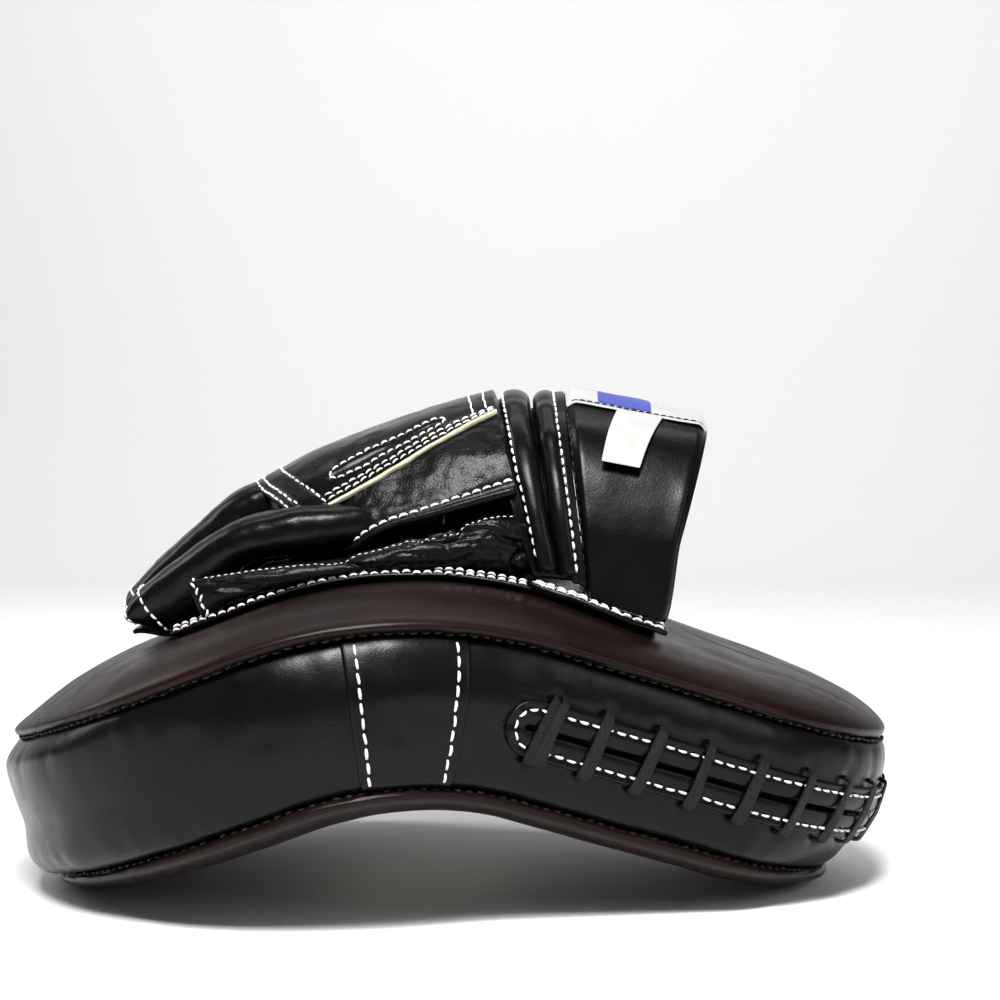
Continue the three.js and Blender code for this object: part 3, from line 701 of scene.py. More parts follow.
def wall_inset(n, s):
    """Inset of the side wall's outer face at height n: full in the middle, tucked at seams."""
    k = np.clip(np.abs(n) / WALL_TOP, 0, 1)
    lean = np.where(n > 0, -0.6, 4.2) * np.abs(n) / SEAM * wrist_share(s)
    edge = 3.6 + np.where(n > 0, 3.2, 0.8) * tip_share(s) * smooth(k, 0.72, 1)
    low = 2.8 * tip_share(s) * smooth(-n, 2, 13) * (1 - smooth(k, 0.9, 1.0))
    shoulder = 2.0 * smooth(n, 1, SEAM) ** 1.2 * np.exp(-(np.asarray(s) / 55.0) ** 4)
    return edge - 5.6 * (1 - k**2.6) ** 0.46 + lean - low + shoulder


def lace_places():
    pitch = 2 * (HALF_OUTLINE - FIRST_BAR) / (BARS - 1)
    return FIRST_BAR + pitch * np.arange(BARS)


def wall_point(l, n, lift=0.0):
    s, y = outline(l, wall_inset(n, outline(l)[0]) - lift)
    return bend(s, y, n)


def outward(path, l, n):
    """Unit vectors out of the pad from a path along its side."""
    return unit(bend(*outline(l, OUTSIDE), n) - path)


def wall_relief(l, n):
    """Dents and wrinkles of the side wall, in millimetres."""
    line = flat(l, n * 1.6)
    relief = 0.35 * noise(line, 26.0, 5) + 0.16 * noise(line, 9.0, 6)
    near_seam = smooth(np.abs(n), 6, 17) * (1 - smooth(np.abs(n), 18, 20))
    relief = relief + 0.32 * near_seam * noise(flat(l, n * 0.2), 4.2, 8)
    for bar in lace_places():
        for side in (-1, 1):
            away = np.hypot(l - bar - side * SLANT / 2, n - side * HOLE_HEIGHT)
            relief = relief - 0.75 * dent(away, 2.3)
    in_lacing = smooth(np.minimum(l, OUTLINE - l), LACE_FROM - 2, LACE_FROM + 5)
    return relief - 0.5 * in_lacing * dent(np.abs(n) - 8.6, 1.0)


def wall_surface(from_l, to_l, lift=0.0):
    """The side wall between two outline lengths (u), from its lower to its upper seam (v)."""
    def place_of(u, v):
        return mix(from_l, to_l, u), mix(-WALL_TOP, WALL_TOP, v)

    def relief(u, v, p):
        l, n = place_of(u, v)
        return wall_relief(np.mod(l, OUTLINE), n)
    return Surface(lambda u, v: wall_point(*place_of(u, v), lift), PAD_MIDDLE, relief)


def rounded_rows(count):
    """Values from 0 to 1 that crowd at both ends."""
    t = np.linspace(0, 1, count)
    return 0.5 - 0.5 * np.cos(np.pi * t) * (0.72 + 0.28 * np.cos(np.pi * t) ** 2)


def gussets():
    """The two long walls of the pad; the one round the wrist end has the lacing's slit."""
    middle = (JOIN_FROM + JOIN_TO) / 2
    leather_piece("gusset_finger_leather", wall_surface(-middle, middle), 190, rounded_rows(30),
                  1.8, BLACK, "gusset_finger_end")

    slit_half = 0.9
    wrist = wall_surface(middle, OUTLINE - middle)
    us = np.linspace(0, 1, 300)
    heights = mix(-WALL_TOP, WALL_TOP, rounded_rows(32))
    heights = np.unique(np.r_[heights, -slit_half, slit_half])
    l = mix(middle, OUTLINE - middle, (us[:-1] + us[1:]) / 2)
    n = (heights[:-1] + heights[1:]) / 2
    slit = np.minimum(l, OUTLINE - l)[:, None] > LACE_FROM + 5
    keep = ~(slit & (np.abs(n)[None] < slit_half))
    vs = (heights + WALL_TOP) / (2 * WALL_TOP)
    leather_piece("gusset_wrist_leather", wrist, us, vs, 1.8, BLACK, "gusset_wrist_end", keep=keep)


def side_panels():
    """Short panels over the joints between the two walls, with a row of stitches at each side."""
    v = np.linspace(0.03, 0.97, 80)
    width = JOIN_TO - JOIN_FROM
    for side, start in (("thumb", JOIN_FROM), ("far", OUTLINE - JOIN_TO)):
        node = "side_panel_" + side
        surface = wall_surface(start, start + width, lift=1.15)
        piece = leather_piece(node + "_leather", surface, 26, rounded_rows(34), 1.2, BLACK, node)
        sew(piece, surface, "side_panel", 11, (3.0 / width, v), (1 - 3.2 / width, v))


def thread_piece(rows, owner, material=WHITE_THREAD, name=None):
    """Stitches that ride with the piece they are sewn on, and are named after it."""
    obj = join_meshes(name or owner.name.replace("leather", "stitches"), rows, material)
    obj.parent = owner


def sew(piece, surface, kind, seed, *lines):
    """Rows of stitches on a piece, along lines (u, v) of its Surface."""
    rows = []
    for i, (u, v) in enumerate(lines):
        rows += sewn_row(surface, u, v, kind, seed + i)
    thread_piece(rows, piece)


def keep_piece(obj, body, slot, *nodes):
    """The piece on its body, shown in place of CAD nodes. The slot argument is not used."""
    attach(obj, body)
    if nodes:
        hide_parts(*nodes)
    return obj


def leather_piece(name, surface, us, vs, thickness, material, *nodes, keep=None):
    """Black leather that stays with the pad."""
    piece = skin(name, surface, us, vs, thickness, material, keep)
    return keep_piece(piece, "root", "black_leather", *nodes)


def leather_tube(name, rings, material, node):
    return keep_piece(closed_tube(name, rings, material), "root", "black_leather", node)


def recolour(node, material):
    """A CAD node that is shown as it is, with a better material."""
    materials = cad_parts[node].data.materials
    materials.clear()
    materials.append(material)


def seam_stitches(back, face):
    """Black lockstitches in the two grooves between the walls and the panels."""
    l = np.linspace(0, OUTLINE, 900)
    s_rim, _ = outline(l)
    for name, side, owner, tip, wrist in (("back", 1, back, 4.0, -0.4),
                                          ("face", -1, face, 1.4, 4.2)):
        inset = 2.3 + tip * tip_share(s_rim) + wrist * wrist_share(s_rim)
        path = bend(*outline(l, inset), side * (SEAM + 0.3))
        rows = row_stitches(path, outward(path, l, side * SEAM), "pad_seam", 21)
        thread_piece(rows, owner, BLACK_THREAD, name + "_seam_stitches")


def pad():
    """Everything that is fixed to the pad, apart from its lacing and the glove."""
    panels = []
    for side, top, seed in (("back", 1, 2), ("face", -1, 4)):
        panel = panel_mesh(side + "_panel_leather", top, BROWN, seed)
        panels.append(keep_piece(panel, "root", "brown_leather", side + "_panel"))
    gussets()
    side_panels()
    seam_stitches(*panels)
    target()
    for layer, low, high in (("back", 12.5, 21.5), ("core", -11.5, 12.0),
                             ("strike", -21.0, -12.0)):
        foam(layer, low, high)
    recolour("lace_tongue", BLACK)


def foam(layer, low, high):
    """One layer of the padding inside the leather, between two heights over the mid-surface."""
    count, room, bevel = 180, 11.5, 1.2
    s_rim, y_rim = outline(np.arange(count) * OUTLINE / count, room)
    ks = np.linspace(0.05, 0.97, 16)

    def side(n, ks):
        for k in ks:
            s, y = mix(MIDDLE, s_rim, k), y_rim * k
            yield bend(s, y, n + 0.15 * noise(flat(s, y), 12.0, 61))
    rings = [*side(low, ks), bend(s_rim, y_rim, low + bevel),
             bend(s_rim, y_rim, high - bevel), *side(high, ks[::-1])]
    obj = closed_tube("foam_" + layer + "_cells", rings, FOAM, 0)
    keep_piece(obj, "root", "foam", "foam_" + layer + "_layer")


TARGET_RADIUS = 38.0
RING_RADII = (0.925 * TARGET_RADIUS, 0.76 * TARGET_RADIUS)


def target():
    """Round leather target with two rings of stitches, on the striking face."""
    def point(u, v):
        radius, turn = TARGET_RADIUS * u, 2 * np.pi * v
        edge = 0.8 * smooth(radius, TARGET_RADIUS - 1.2, TARGET_RADIUS)
        return bend(radius * np.cos(turn), radius * np.sin(turn), -(FACE + 1.2 - edge))

    def relief(u, v, p):
        ring = sum(dent(u * TARGET_RADIUS - r, 0.8) for r in RING_RADII)
        return 0.12 * noise(p, 11.0, 9) - 0.35 * ring
    surface = Surface(point, (0, 0, 0), relief)
    us = np.r_[0.02, np.linspace(0.08, 0.94, 30), 0.965, 0.985, 1.0]
    count = 150
    u, v = np.meshgrid(us, np.arange(count) / count, indexing="ij")
    disc = thickened(capped("target_leather", surface.at(u, v), CREAM, (0, 0, 40), end=0), 0.9)
    keep_piece(disc, "root", "cream_leather", "target_disc")
    v = np.linspace(0, 1, 160)
    sew(disc, surface, "target", 31, *((radius / TARGET_RADIUS, v) for radius in RING_RADII))


# ---- lacing ----
FACING_HALF, SLIT_HALF = 7.9, 0.75


def stadium_half(l, start, end, half):
    """Half height of a stadium that runs from start to end, at outline length l."""
    near = np.clip(np.minimum(l - start, end - l) / half, 0, 1)
    return half * np.sqrt(np.clip(1 - (1 - near) ** 2, 0, 1))


def facing():
    """Stadium of leather round the slit, raised at its rim, with two rows of stitches."""
    start, end = LACE_FROM, OUTLINE - LACE_FROM
    bow = 1 - np.cos(np.linspace(0, np.pi / 2, 14))
    steps = np.r_[start + 0.02 + FACING_HALF * bow,
                  np.linspace(start + FACING_HALF + 1.2, end - FACING_HALF - 1.2, 300),
                  end - 0.02 - FACING_HALF * bow[::-1]]
    outer = np.maximum(stadium_half(steps, start, end, FACING_HALF), 0.05)[:, None]
    inner = stadium_half(steps, start + 5.5, end - 5.5, SLIT_HALF)[:, None]
    rows = np.linspace(0, 1, 14)[None]
    n = inner + (outer - inner) * rows
    l = np.repeat(steps[:, None], rows.size, 1)
    edge = 0.9 * np.clip(1 - (outer - n) / 0.5, 0, 1)
    lift = 1.3 + 0.45 * dent(outer - n, 0.9) - edge - 0.35 * dent(np.abs(n) - FACING_ROW, 0.8)
    lift = lift - 0.5 * dent(n - inner, 1.2) + 0.1 * noise(flat(l, n), 6.0, 12)
    parts = []
    for side in (-1, 1):
        p = wall_point(l, side * n, lift).reshape(-1, 3)
        faces = grid_faces(*n.shape)
        parts.append((p, facing_out(p, faces, np.array([40.0, 0.0, -8.0]))))
    obj = join_meshes("lace_facing_leather", parts, BLACK)
    weld = obj.modifiers.new("weld", "WELD")
    weld.merge_threshold = 0.00004
    thickened(obj, 1.1)
    keep_piece(obj, "root", "black_leather", "lace_facing")

    # The stitch row runs up one side, round the end and back down the other side.
    turn = np.linspace(-np.pi / 2, np.pi / 2, 24)
    across, along = FACING_ROW * np.sin(turn), FACING_ROW * np.cos(turn)
    straight = np.linspace(end - FACING_HALF, start + FACING_HALF, 500)
    level = np.full(len(straight), FACING_ROW)
    rows = []
    for k, (l, n) in enumerate((
        (straight, -level),
        (straight, level),
        (start + FACING_HALF - along, across),
        (end - FACING_HALF + along, -across),
    )):
        path = wall_point(l, n, 1.35)
        rows += row_stitches(path, outward(path, l, n), "facing", 41 + k)
    thread_piece(rows, obj)


LACE_WIDTH, LACE_THICK = 3.8, 0.8
FACING_ROW = 5.4  # height of the facing's stitches over the slit


def lace_bars():
    """Flat lace: one bar over each pair of holes, sinking into them, the first one doubled."""
    rng = np.random.default_rng(5)
    parts = []
    places = [(bar, 0.0, 0.0) for bar in lace_places()]
    for bar in (lace_places()[0], lace_places()[-1]):
        places.append((bar + 1.4, 0.6, 0.8))
    cos, sin = turns(20)
    rib = 1 + 0.1 * np.cos(9 * np.arange(20) * 2 * np.pi / 20)
    t = np.linspace(-1, 1, 25)
    away = np.abs(t)
    for bar, extra, shift in places:
        slant = SLANT / 2 + rng.normal(0, 0.25)
        l = bar + slant * t + 0.35 * np.sin(2.2 * t + rng.uniform(0, 6)) + shift
        n = (HOLE_HEIGHT + 0.3) * np.sin(np.clip(t * 1.02, -1, 1) * np.pi / 2)
        sink = smooth(away, 0.72, 1.0) ** 1.3
        lift = 2.0 + extra + 0.1 * rng.normal() - (4.4 + extra) * sink
        centre = wall_point(l, n, lift)
        along = tangents(centre)
        out = across_of(outward(centre, l, n), along)
        across = np.cross(along, out)
        roll = 0.18 * np.sin(1.5 * t + rng.uniform(0, 6))
        side = across * np.cos(roll)[:, None] + out * np.sin(roll)[:, None]
        up = np.cross(side, along)
        if (up * out).sum() < 0:
            up = -up
        width = LACE_WIDTH / 2 * (1 - 0.62 * smooth(away, 0.62, 1.0)) * rng.uniform(0.92, 1.06)
        width = width * mix(1.2, 0.72, (t + 1) / 2)
        thick = LACE_THICK / 2 * (1 + 0.5 * smooth(away, 0.6, 1.0))
        rings, _ = swept(centre, side, up, width[:, None] * blunt(cos, 0.6),
                         thick[:, None] * (blunt(sin, 0.7) * rib))
        points = rings.reshape(-1, 3)
        faces = grid_faces(*rings.shape[:2], wrap=True) + tube_ends(*rings.shape[:2])
        parts.append((points, facing_out(points, faces, centre.mean(0))))
    obj = subdivided(join_meshes("lace_cord_bars", parts, LACE))
    keep_piece(obj, "root", "lace_cord", "lace")


# ---- glove: arches ----
ARCHES = {  # foot x, z; crown x, z; half width; roundness; lean
    "band": (-27.0, 31.5, -48.0, 56.5, 43.5, 2.8, 3.0),
    "knuckles": (-16.0, 32.5, -40.5, 61.5, 44.5, 2.75, 3.0),
    "seam": (38.3, 30.5, 23.3, 85.0, 48.0, 2.15, 1.0),
    "roll_front": (39.7, 30.5, 28.4, 81.5, 46.0, 2.15, 1.0),
    "roll_rear": (46.0, 29.5, 38.2, 81.5, 46.0, 2.15, 1.0),
    "strap_front": (50.5, 26.5, 43.4, 85.5, 48.0, 2.15, 1.0),
    "strap_rear": (71.5, 24.5, 86.5, 76.5, 48.0, 2.15, 1.0),
}
GLOVE_MIDDLE, ROLLS_MIDDLE, STRAP_MIDDLE = (0, 0, 30), (35, 0, 30), (60, 0, 30)
UNDER_BACK = (0, 0, -60)
COVER_RISE = 2.5
COVER_END = 0.985  # where the hand back leather and the side leathers end at the wrist seam


def arch_point(arch, angle):
    """Point of an arch, or of arches stacked in the last axis, at an angle in degrees."""
    xb, zb, xt, zt, w, p, lean = np.moveaxis(np.asarray(arch, float), -1, 0)
    a = np.radians(angle)
    c, h = np.cos(a), np.abs(np.sin(a)) ** (2 / p)
    return np.stack([
        mix(xb, xt, h**lean), -w * np.sign(c) * np.abs(c) ** (2 / p), mix(zb, zt, h)], -1)


def loft(first, last, rise=0.0):
    a, b = np.array(ARCHES[first]), np.array(ARCHES[last])

    def at(k, angle):
        k = np.asarray(k, float)
        arch = a + (b - a) * k[..., None]
        arch[..., 3] += rise * np.sin(np.pi * np.clip(k, 0, 1))
        return arch_point(arch, angle)
    return at


cover = loft("knuckles", "seam", COVER_RISE)
band = loft("band", "knuckles")
strap = loft("strap_front", "strap_rear")


def edge_angle(k):
    """Where the hand back leather is cut, as an angle round the arch at k along the hand."""
    return np.interp(k, (-0.24, -0.1, 0, 0.2, 0.43, 0.7, 1), (25, 30.5, 35, 38.5, 43.5, 51.5, 62))


def hem_angle(k):
    """The side leather's lower hem over the thumb opening."""
    return np.interp(k, (-0.2, -0.1, 0.0, 0.12, 0.25, 0.5, 1), (9, 9, 9.6, 14.5, 17.5, 20, 27))


def build_glove():
    hand_back()
    knuckle_band()
    finger_stalls()
    palm_divider()
    thumb_side()
    far_side()
    rolls()
    wrist_liner()
    base()


def hand_back():
    """Hand back panel with its cream cut edges, rows of stitches and two stitched vents."""
    def point(u, v):
        k = mix(-0.005, COVER_END, u)
        return cover(k, mix(edge_angle(k), 180 - edge_angle(k), v))

    def relief(u, v, p):
        q = p * np.array([0.8, 1.0, 0.0])
        soft = 0.9 * noise(q, 19.0, 14) + 0.35 * noise(q, 7.0, 15) + 0.12 * noise(q, 3.0, 16)
        edge = dent(np.minimum(v, 1 - v), 0.05)
        vent = dent(vent_distance(u, v), 1.1)
        return soft * (1 - 0.6 * edge) - 0.7 * vent + 0.5
    surface = Surface(point, GLOVE_MIDDLE, relief)
    piece = leather_piece("hand_back_leather", surface, 100, 130, 1.4, SOFT_BLACK, "hand_back_panel")
    rows = []
    t = np.linspace(0.02, 0.99, 90)
    for i, inset in enumerate((0.026, 0.054)):
        for j, v in enumerate((inset, 1 - inset)):
            wave = 0.004 * np.sin(t * 130 + i)
            rows += sewn_row(surface, t, v + wave, "hand_back_side", 51 + 4 * i + j)
    for i, u in enumerate((0.885, 0.95)):
        rows += sewn_row(surface, u, np.linspace(0.07, 0.93, 90), "hand_back_across", 57 + i)
    for j, (span, v_mid) in enumerate(VENTS):
        rows += sewn_row(surface, *vent_loop(span, v_mid), "vent", 61 + j)
    thread_piece(rows, piece)
    for j, (span, v_mid) in enumerate(VENTS):
        t = np.linspace(span[0] + 0.03, span[1] - 0.03, 60)
        path, normals = on_surface(surface, t, v_mid, -0.35)
        flat_cord("vent_cut_%d" % j, path, normals, 0.7, 0.5, CUT_EDGE, piece)
    for side, name in enumerate(("thumb", "far")):
        cut_edge(side, name)


def flat_cord(name, path, normals, width, thick, material, owner):
    """Flat strip of leather edge along a path, that rides with its owner."""
    across = unit(np.cross(tangents(path), normals))
    cos, sin = turns(10)
    rings, _ = swept(path, across, normals, width / 2 * blunt(cos, 0.6)[None],
                     thick / 2 * sin[None])
    closed_tube(name, rings, material).parent = owner


VENTS = (((0.13, 0.74), 0.13), ((0.13, 0.74), 0.87))


def vent_loop(span, v_mid):
    """Stadium loop round the vent, in the hand back panel's (u, v)."""
    half_u, half_v = (span[1] - span[0]) / 2 + 0.012, 0.037
    turn = np.linspace(0, 2 * np.pi, 160)
    u = (span[0] + span[1]) / 2 + half_u * blunt(np.cos(turn), 0.35)
    return u, v_mid + half_v * blunt(np.sin(turn), 0.8)


def vent_distance(u, v):
    """Rough distance in millimetres from the vent's slot."""
    best = np.full(np.shape(u), 99.0)
    for (low, high), v_mid in VENTS:
        du = np.maximum(np.maximum(low - u, u - high), 0) * 62
        best = np.minimum(best, np.hypot(du, (v - v_mid) * 78))
    return best


def cut_edge(side, name):
    """Raw cream edge of the hand back leather: a thin strip, wavy along its cut."""
    def point(u, v):
        k = mix(-0.22, COVER_END, u)
        wave = 0.45 * noise(np.stack([u * 30, 0 * u, 0 * u], -1), 1.0, 18 + side)
        angle = edge_angle(k) + mix(-0.9 + wave, 0.7, v)
        return cover(k, angle if side == 0 else 180 - angle)

    def relief(u, v, p):
        q = p * np.array([0.8, 1.0, 0.0])
        return 0.35 * noise(q, 19.0, 14) + 0.75 + 0.15 * noise(p, 2.0, 17)
    surface = Surface(point, GLOVE_MIDDLE, relief)
    piece = skin("cut_edge_" + name + "_leather", surface, 110, 5, 1.5, CUT_EDGE)
    keep_piece(piece, "root", "cream_leather", "edge_binding_" + name)


BAND_ROWS = (0.05, 0.3, 0.93)


def knuckle_band():
    """Doubled strap of leather across the finger roots, with three rows of stitches."""
    def point(u, v):
        return band(mix(0.0, 1.04, u), mix(mix(36, 35, u), mix(144, 145, u), v))

    def relief(u, v, p):
        finger = np.cos(np.clip((np.abs(p[..., 1]) - 11.5) / 11.5, -1, 1) * np.pi / 2)
        rows = sum(dent(u - k, 0.05) for k in BAND_ROWS)
        return (0.7 + 0.9 * np.abs(finger) * (1 - u) + 0.3 * noise(p, 6.0, 20)
                - 0.35 * rows + 0.3 * noise(p, 14.0, 21))
    surface = Surface(point, GLOVE_MIDDLE, relief)
    piece = leather_piece("knuckle_band_leather", surface, 26, 90, 1.5, SOFT_BLACK, "knuckle_band")
    v = np.linspace(0.01, 0.99, 100)
    sew(piece, surface, "knuckle_band", 71, *((u, v) for u in BAND_ROWS))


# Centre line of each finger stall from tip to root, and half widths and heights along it.
STALLS = {
    "index": (
        [(-81.5, -30.5, 19.4), (-70.5, -32, 27.4), (-59, -33.6, 35.2), (-48, -35, 41.4),
         (-36, -36.4, 44.2), (-23, -36.4, 45.4), (-8, -32.5, 46.5), (8, -26, 48)],
        (8.8, 9.8, 10.0, 10.0, 9.4, 8.4, 7.0, 4.0), (4.4, 5.6, 6.2, 6.6, 6.8, 6.6, 5.8, 4.0)),
    "middle": (
        [(-85, -12, 20), (-74, -12, 30.3), (-62, -11.8, 40.6), (-51.5, -11.5, 48.8),
         (-43, -11.4, 52)],
        (10.0, 10.6, 11.0, 11.2, 11.0), (4.2, 5.4, 6.0, 6.6, 7.0)),
    "ring": (
        [(-83, 10, 20.5), (-73, 10.2, 30), (-61.5, 10.6, 40), (-51, 11.2, 48.5),
         (-43, 11.4, 52)],
        (9.8, 10.4, 10.8, 11.2, 11.0), (4.2, 5.4, 6.0, 6.6, 7.0)),
    "little": (
        [(-74, 29.5, 23.5), (-66, 30.5, 29.5), (-56, 32, 35.6), (-47, 33.8, 40.6),
         (-36, 36.2, 44), (-24, 35.6, 46), (-10, 32, 48.6)],
        (8.2, 9.2, 9.6, 9.8, 9.2, 8.2, 4.5), (4.2, 5.2, 5.8, 6.2, 6.4, 5.8, 4.2)),
}


def tube_frame(centre, sideways):
    """Units across a tube's centre line: one nearest to sideways, and one square to it."""
    along = tangents(centre)
    side = across_of(np.tile(sideways, (len(centre), 1)), along)
    return side, np.cross(along, side)


def stall_frame(line, count):
    """Parameter, centres, sideways and upward units along a stall's centre line."""
    t = np.linspace(0, 1, count)
    centre = curve(line)(t)
    side, up = tube_frame(centre, (0.0, 1.0, 0.0))
    return t, centre, side, up * np.sign(up[:, 2:3])


def along_tube(values, t):
    return np.interp(t, np.linspace(0, 1, len(values)), values)


FOLDS = ((0.62, -0.25, 1.5), (-0.35, 0.2, 1.2))  # angle, drift along the stall, depth


def finger_stalls():
    """Four flattened leather tubes with stitched mouths."""
    count, around = 90, 64
    cos, sin = turns(around)
    angle = np.arange(around) * 2 * np.pi / around
    wide, high = blunt(cos, 0.85), blunt(sin, 0.85)
    for i, (name, (line, widths, heights)) in enumerate(STALLS.items()):
        t, centre, side, up = stall_frame(line, count)
        a, b = along_tube(widths, t), along_tube(heights, t)
        pinch = 1 - 0.5 * dent(t, 0.03)
        # The two middle stalls bag out on the palm side, down to the sole.
        bag = mix(1.0, 2.6 if name in ("middle", "ring") else 1.0, smooth(t, 0.04, 0.3))
        bag = bag + 1.1 * smooth(t, 0, 0.06) * (1 - smooth(t, 0.2, 0.4))
        below = bag[:, None] * (high < 0) + (high >= 0)
        points, out = swept(centre, side, up, a[:, None] * wide,
                            (b * pinch)[:, None] * high * below)
        # Two lengthwise folds run down each flank of the stall.
        folds = 0.0
        swell = (smooth(t, 0.06, 0.3) * (1 - smooth(t, 0.85, 1)))[:, None]
        for k, (at, drift, depth) in enumerate(FOLDS):
            for flip in (1, -1):
                middle = at + drift * t[:, None] + 0.12 * np.sin(5 * t + i + k)[:, None]
                across = np.angle(np.exp(1j * (angle[None] * flip - middle)))
                fold = 0.45 * dent(across - 0.33, 0.22) - dent(across, 0.13)
                folds = folds + depth * swell * fold
        ripples = 0.22 * noise(points, 5.0, 84 + i) + 0.45 * noise(points, 13.0, 88 + i)
        ripples = ripples + 0.1 * noise(points, 2.2, 92 + i)
        points = points + out * (folds + ripples * smooth(t, 0.0, 0.15)[:, None])[..., None]
        stall = leather_tube("stall_" + name + "_leather", over_back(points), SOFT_BLACK,
                             "finger_stall_" + name)
        rows = []
        for j, k in enumerate((0.02, 0.085)):
            rows += hoop(points, out, int(k * (count - 1)), "stall_mouth", 91 + 2 * i + j)
        thread_piece(rows, stall)


def hoop(points, out, ring, kind, seed):
    """Stitches round one ring of a tube."""
    loop, normals = (np.vstack([w[ring], w[ring][:1]]) for w in (points, out))
    return row_stitches(loop, normals, kind, seed)


def palm_divider():
    """Leather web inside the glove, between the sole and the middle stalls."""
    def point(u, v):
        x = mix(-70.0, -12.0, u)
        top = np.interp(x, (-85, -73, -61.5, -51, -43, -12), (20, 28, 38, 46, 50, 54))
        low = np.stack([x, np.full(np.shape(x), 17.0), top], -1)
        floor = back_floor(low) + 2.2
        return np.stack([x, 17.0 + 2 * np.sin(6 * u) * v, mix(floor, top, v)], -1)
    surface = Surface(point, (-40, 40, 30), lambda u, v, p: 0.5 * noise(p, 8.0, 99))
    leather_piece("palm_divider_leather", surface, 40, 14, 1.2, GRAINED)


def back_floor(points):
    """Height of the back panel under points of the mitt frame."""
    x, y, z = points[..., 0], points[..., 1], points[..., 2]
    c, w = math.cos(TILT), math.sin(TILT)
    bx, bz = x * c - z * w, x * w + z * c + BEND_RADIUS
    a = np.arctan2(bx, bz)
    inside = np.abs(a) <= HALF_BEND
    turn = np.sign(a) * HALF_BEND
    arm = bx * np.cos(turn) - bz * np.sin(turn)
    s = np.where(inside, a * BEND_RADIUS, turn * BEND_RADIUS + arm)
    return bend(s, y, crown_height(s, y))[..., 2]


def over_back(points):
    """The points, lifted where a stall's leather would sink into the back panel."""
    points[..., 2] = np.maximum(points[..., 2], back_floor(points) + 2.6)
    return points


def thumb_side():
    """Side leather over the thumb opening, its hem, and the thumb stall below it."""
    def point(u, v):
        k = mix(-0.16, COVER_END, u)
        return cover(k, mix(hem_angle(k), edge_angle(k) - 0.3, v))

    def relief(u, v, p):
        q = p * np.array([0.8, 1.0, 1.0])
        crush = 0.75 * noise(q, 10.0, 101) + 0.4 * noise(q, 5.0, 102) + 0.16 * noise(p, 2.2, 103)
        dive = -7.0 * (1 - smooth(u, 0.0, 0.3)) ** 1.4
        hem = 0.9 * dent(v - 0.05, 0.07)
        return crush * smooth(v, 0.05, 0.25) * (1 - 0.6 * smooth(v, 0.85, 1)) + hem + dive - 0.3
    surface = Surface(point, GLOVE_MIDDLE, relief)
    piece = leather_piece("side_thumb_leather", surface, 100, 44, 1.5, GRAINED, "side_wall_thumb")
    sew(piece, surface, "thumb_side", 111, (np.linspace(0.1, 0.99, 90), 0.1))
    # A turned edge under the side leather curls back at its front end.
    path, normals = on_surface(surface, np.linspace(0.1, 0.985, 110), 0.0, -0.5)
    flat_cord("side_thumb_hem", path, normals, 2.6, 2.4, GRAINED, piece)
    thumb_stall()


THUMB_LINE = [(-60, -47.5, 24.5), (-50, -47.8, 28.6), (-36, -47.6, 31.5), (-20, -47.0, 33.6),
              (-6, -46.2, 36.0), (9, -45.0, 38.5), (24, -42.5, 40.5), (39, -37.0, 41.0)]
THUMB_WIDTHS = (2.6, 3.8, 4.8, 5.2, 5.4, 5.6, 5.8, 5.0)
THUMB_HEIGHTS = (6.8, 4.8, 3.9, 3.8, 4.6, 6.2, 8.4, 9.0)


def thumb_stall():
    """Crushed thumb stall: flat hem at its mouth, wide and creased towards the wrist."""
    count = 130
    t, centre, side, up = stall_frame(THUMB_LINE, count)
    a, b = along_tube(THUMB_WIDTHS, t), along_tube(THUMB_HEIGHTS, t)
    cos, sin = turns(72)
    points, out = swept(centre, side, up, a[:, None] * cos, b[:, None] * blunt(sin, 0.85))
    q = points * np.array([0.55, 1.0, 1.5])
    creased = (smooth(t, 0.02, 0.15) * mix(0.45, 1.0, smooth(t, 0.35, 0.6))
               * (1 - 0.8 * smooth(t, 0.9, 1.0)))[:, None]
    relief = 1.1 * noise(points, 11.0, 123) - 2.0 * dent(noise(q, 8.0, 121), 0.1)
    relief = relief - 0.7 * dent(noise(q, 4.0, 126), 0.1)
    points = points + out * (relief * creased)[..., None]
    stall = leather_tube("thumb_stall_leather", over_back(points), GRAINED, "thumb_stall")
    rows = hoop(points, out, 3, "thumb_mouth", 131)
    # The stall's top seam faces the thumb side, a little under its ridge.
    ridge = np.argmax(points[..., 2] - 0.55 * points[..., 1], axis=1)
    index = np.arange(8, count - 12)
    column = np.round(np.convolve(ridge, np.ones(9) / 9, "same")[index]).astype(int)
    rows += row_stitches(points[index, column], out[index, column], "thumb_ridge", 135)
    thread_piece(rows, stall)


def sewn_down(p, share, height, y_foot=None):
    """Points pulled down by their share to a height over the back panel, where they are sewn."""
    foot = p.copy()
    if y_foot is not None:
        foot[..., 1] = y_foot
    foot[..., 2] = back_floor(foot) + height
    return mix(p, foot, share[..., None])


def far_side():
    """Side leather away from the thumb, sewn down to the sole."""
    def point(u, v):
        k = mix(-0.3, COVER_END, u)
        p = cover(k, mix(180 - edge_angle(k) + 0.3, 176.5, np.minimum(v / 0.78, 1)))
        return sewn_down(p, smooth(v, 0.72, 1.0), 2.4, 48.5)

    def relief(u, v, p):
        q = p * np.array([0.45, 1.0, 1.3])
        crush = 1.2 * noise(q, 11.0, 141) + 0.5 * noise(q, 5.0, 142)
        return crush * (1 - 0.8 * smooth(v, 0.8, 1)) * smooth(v, 0, 0.15) - 0.5
    surface = Surface(point, GLOVE_MIDDLE, relief)
    piece = leather_piece("side_far_leather", surface, 80, 64, 1.5, GRAINED, "side_wall_far")
    sew(piece, surface, "far_side", 145, (np.linspace(0.03, 0.99, 100), 0.96))


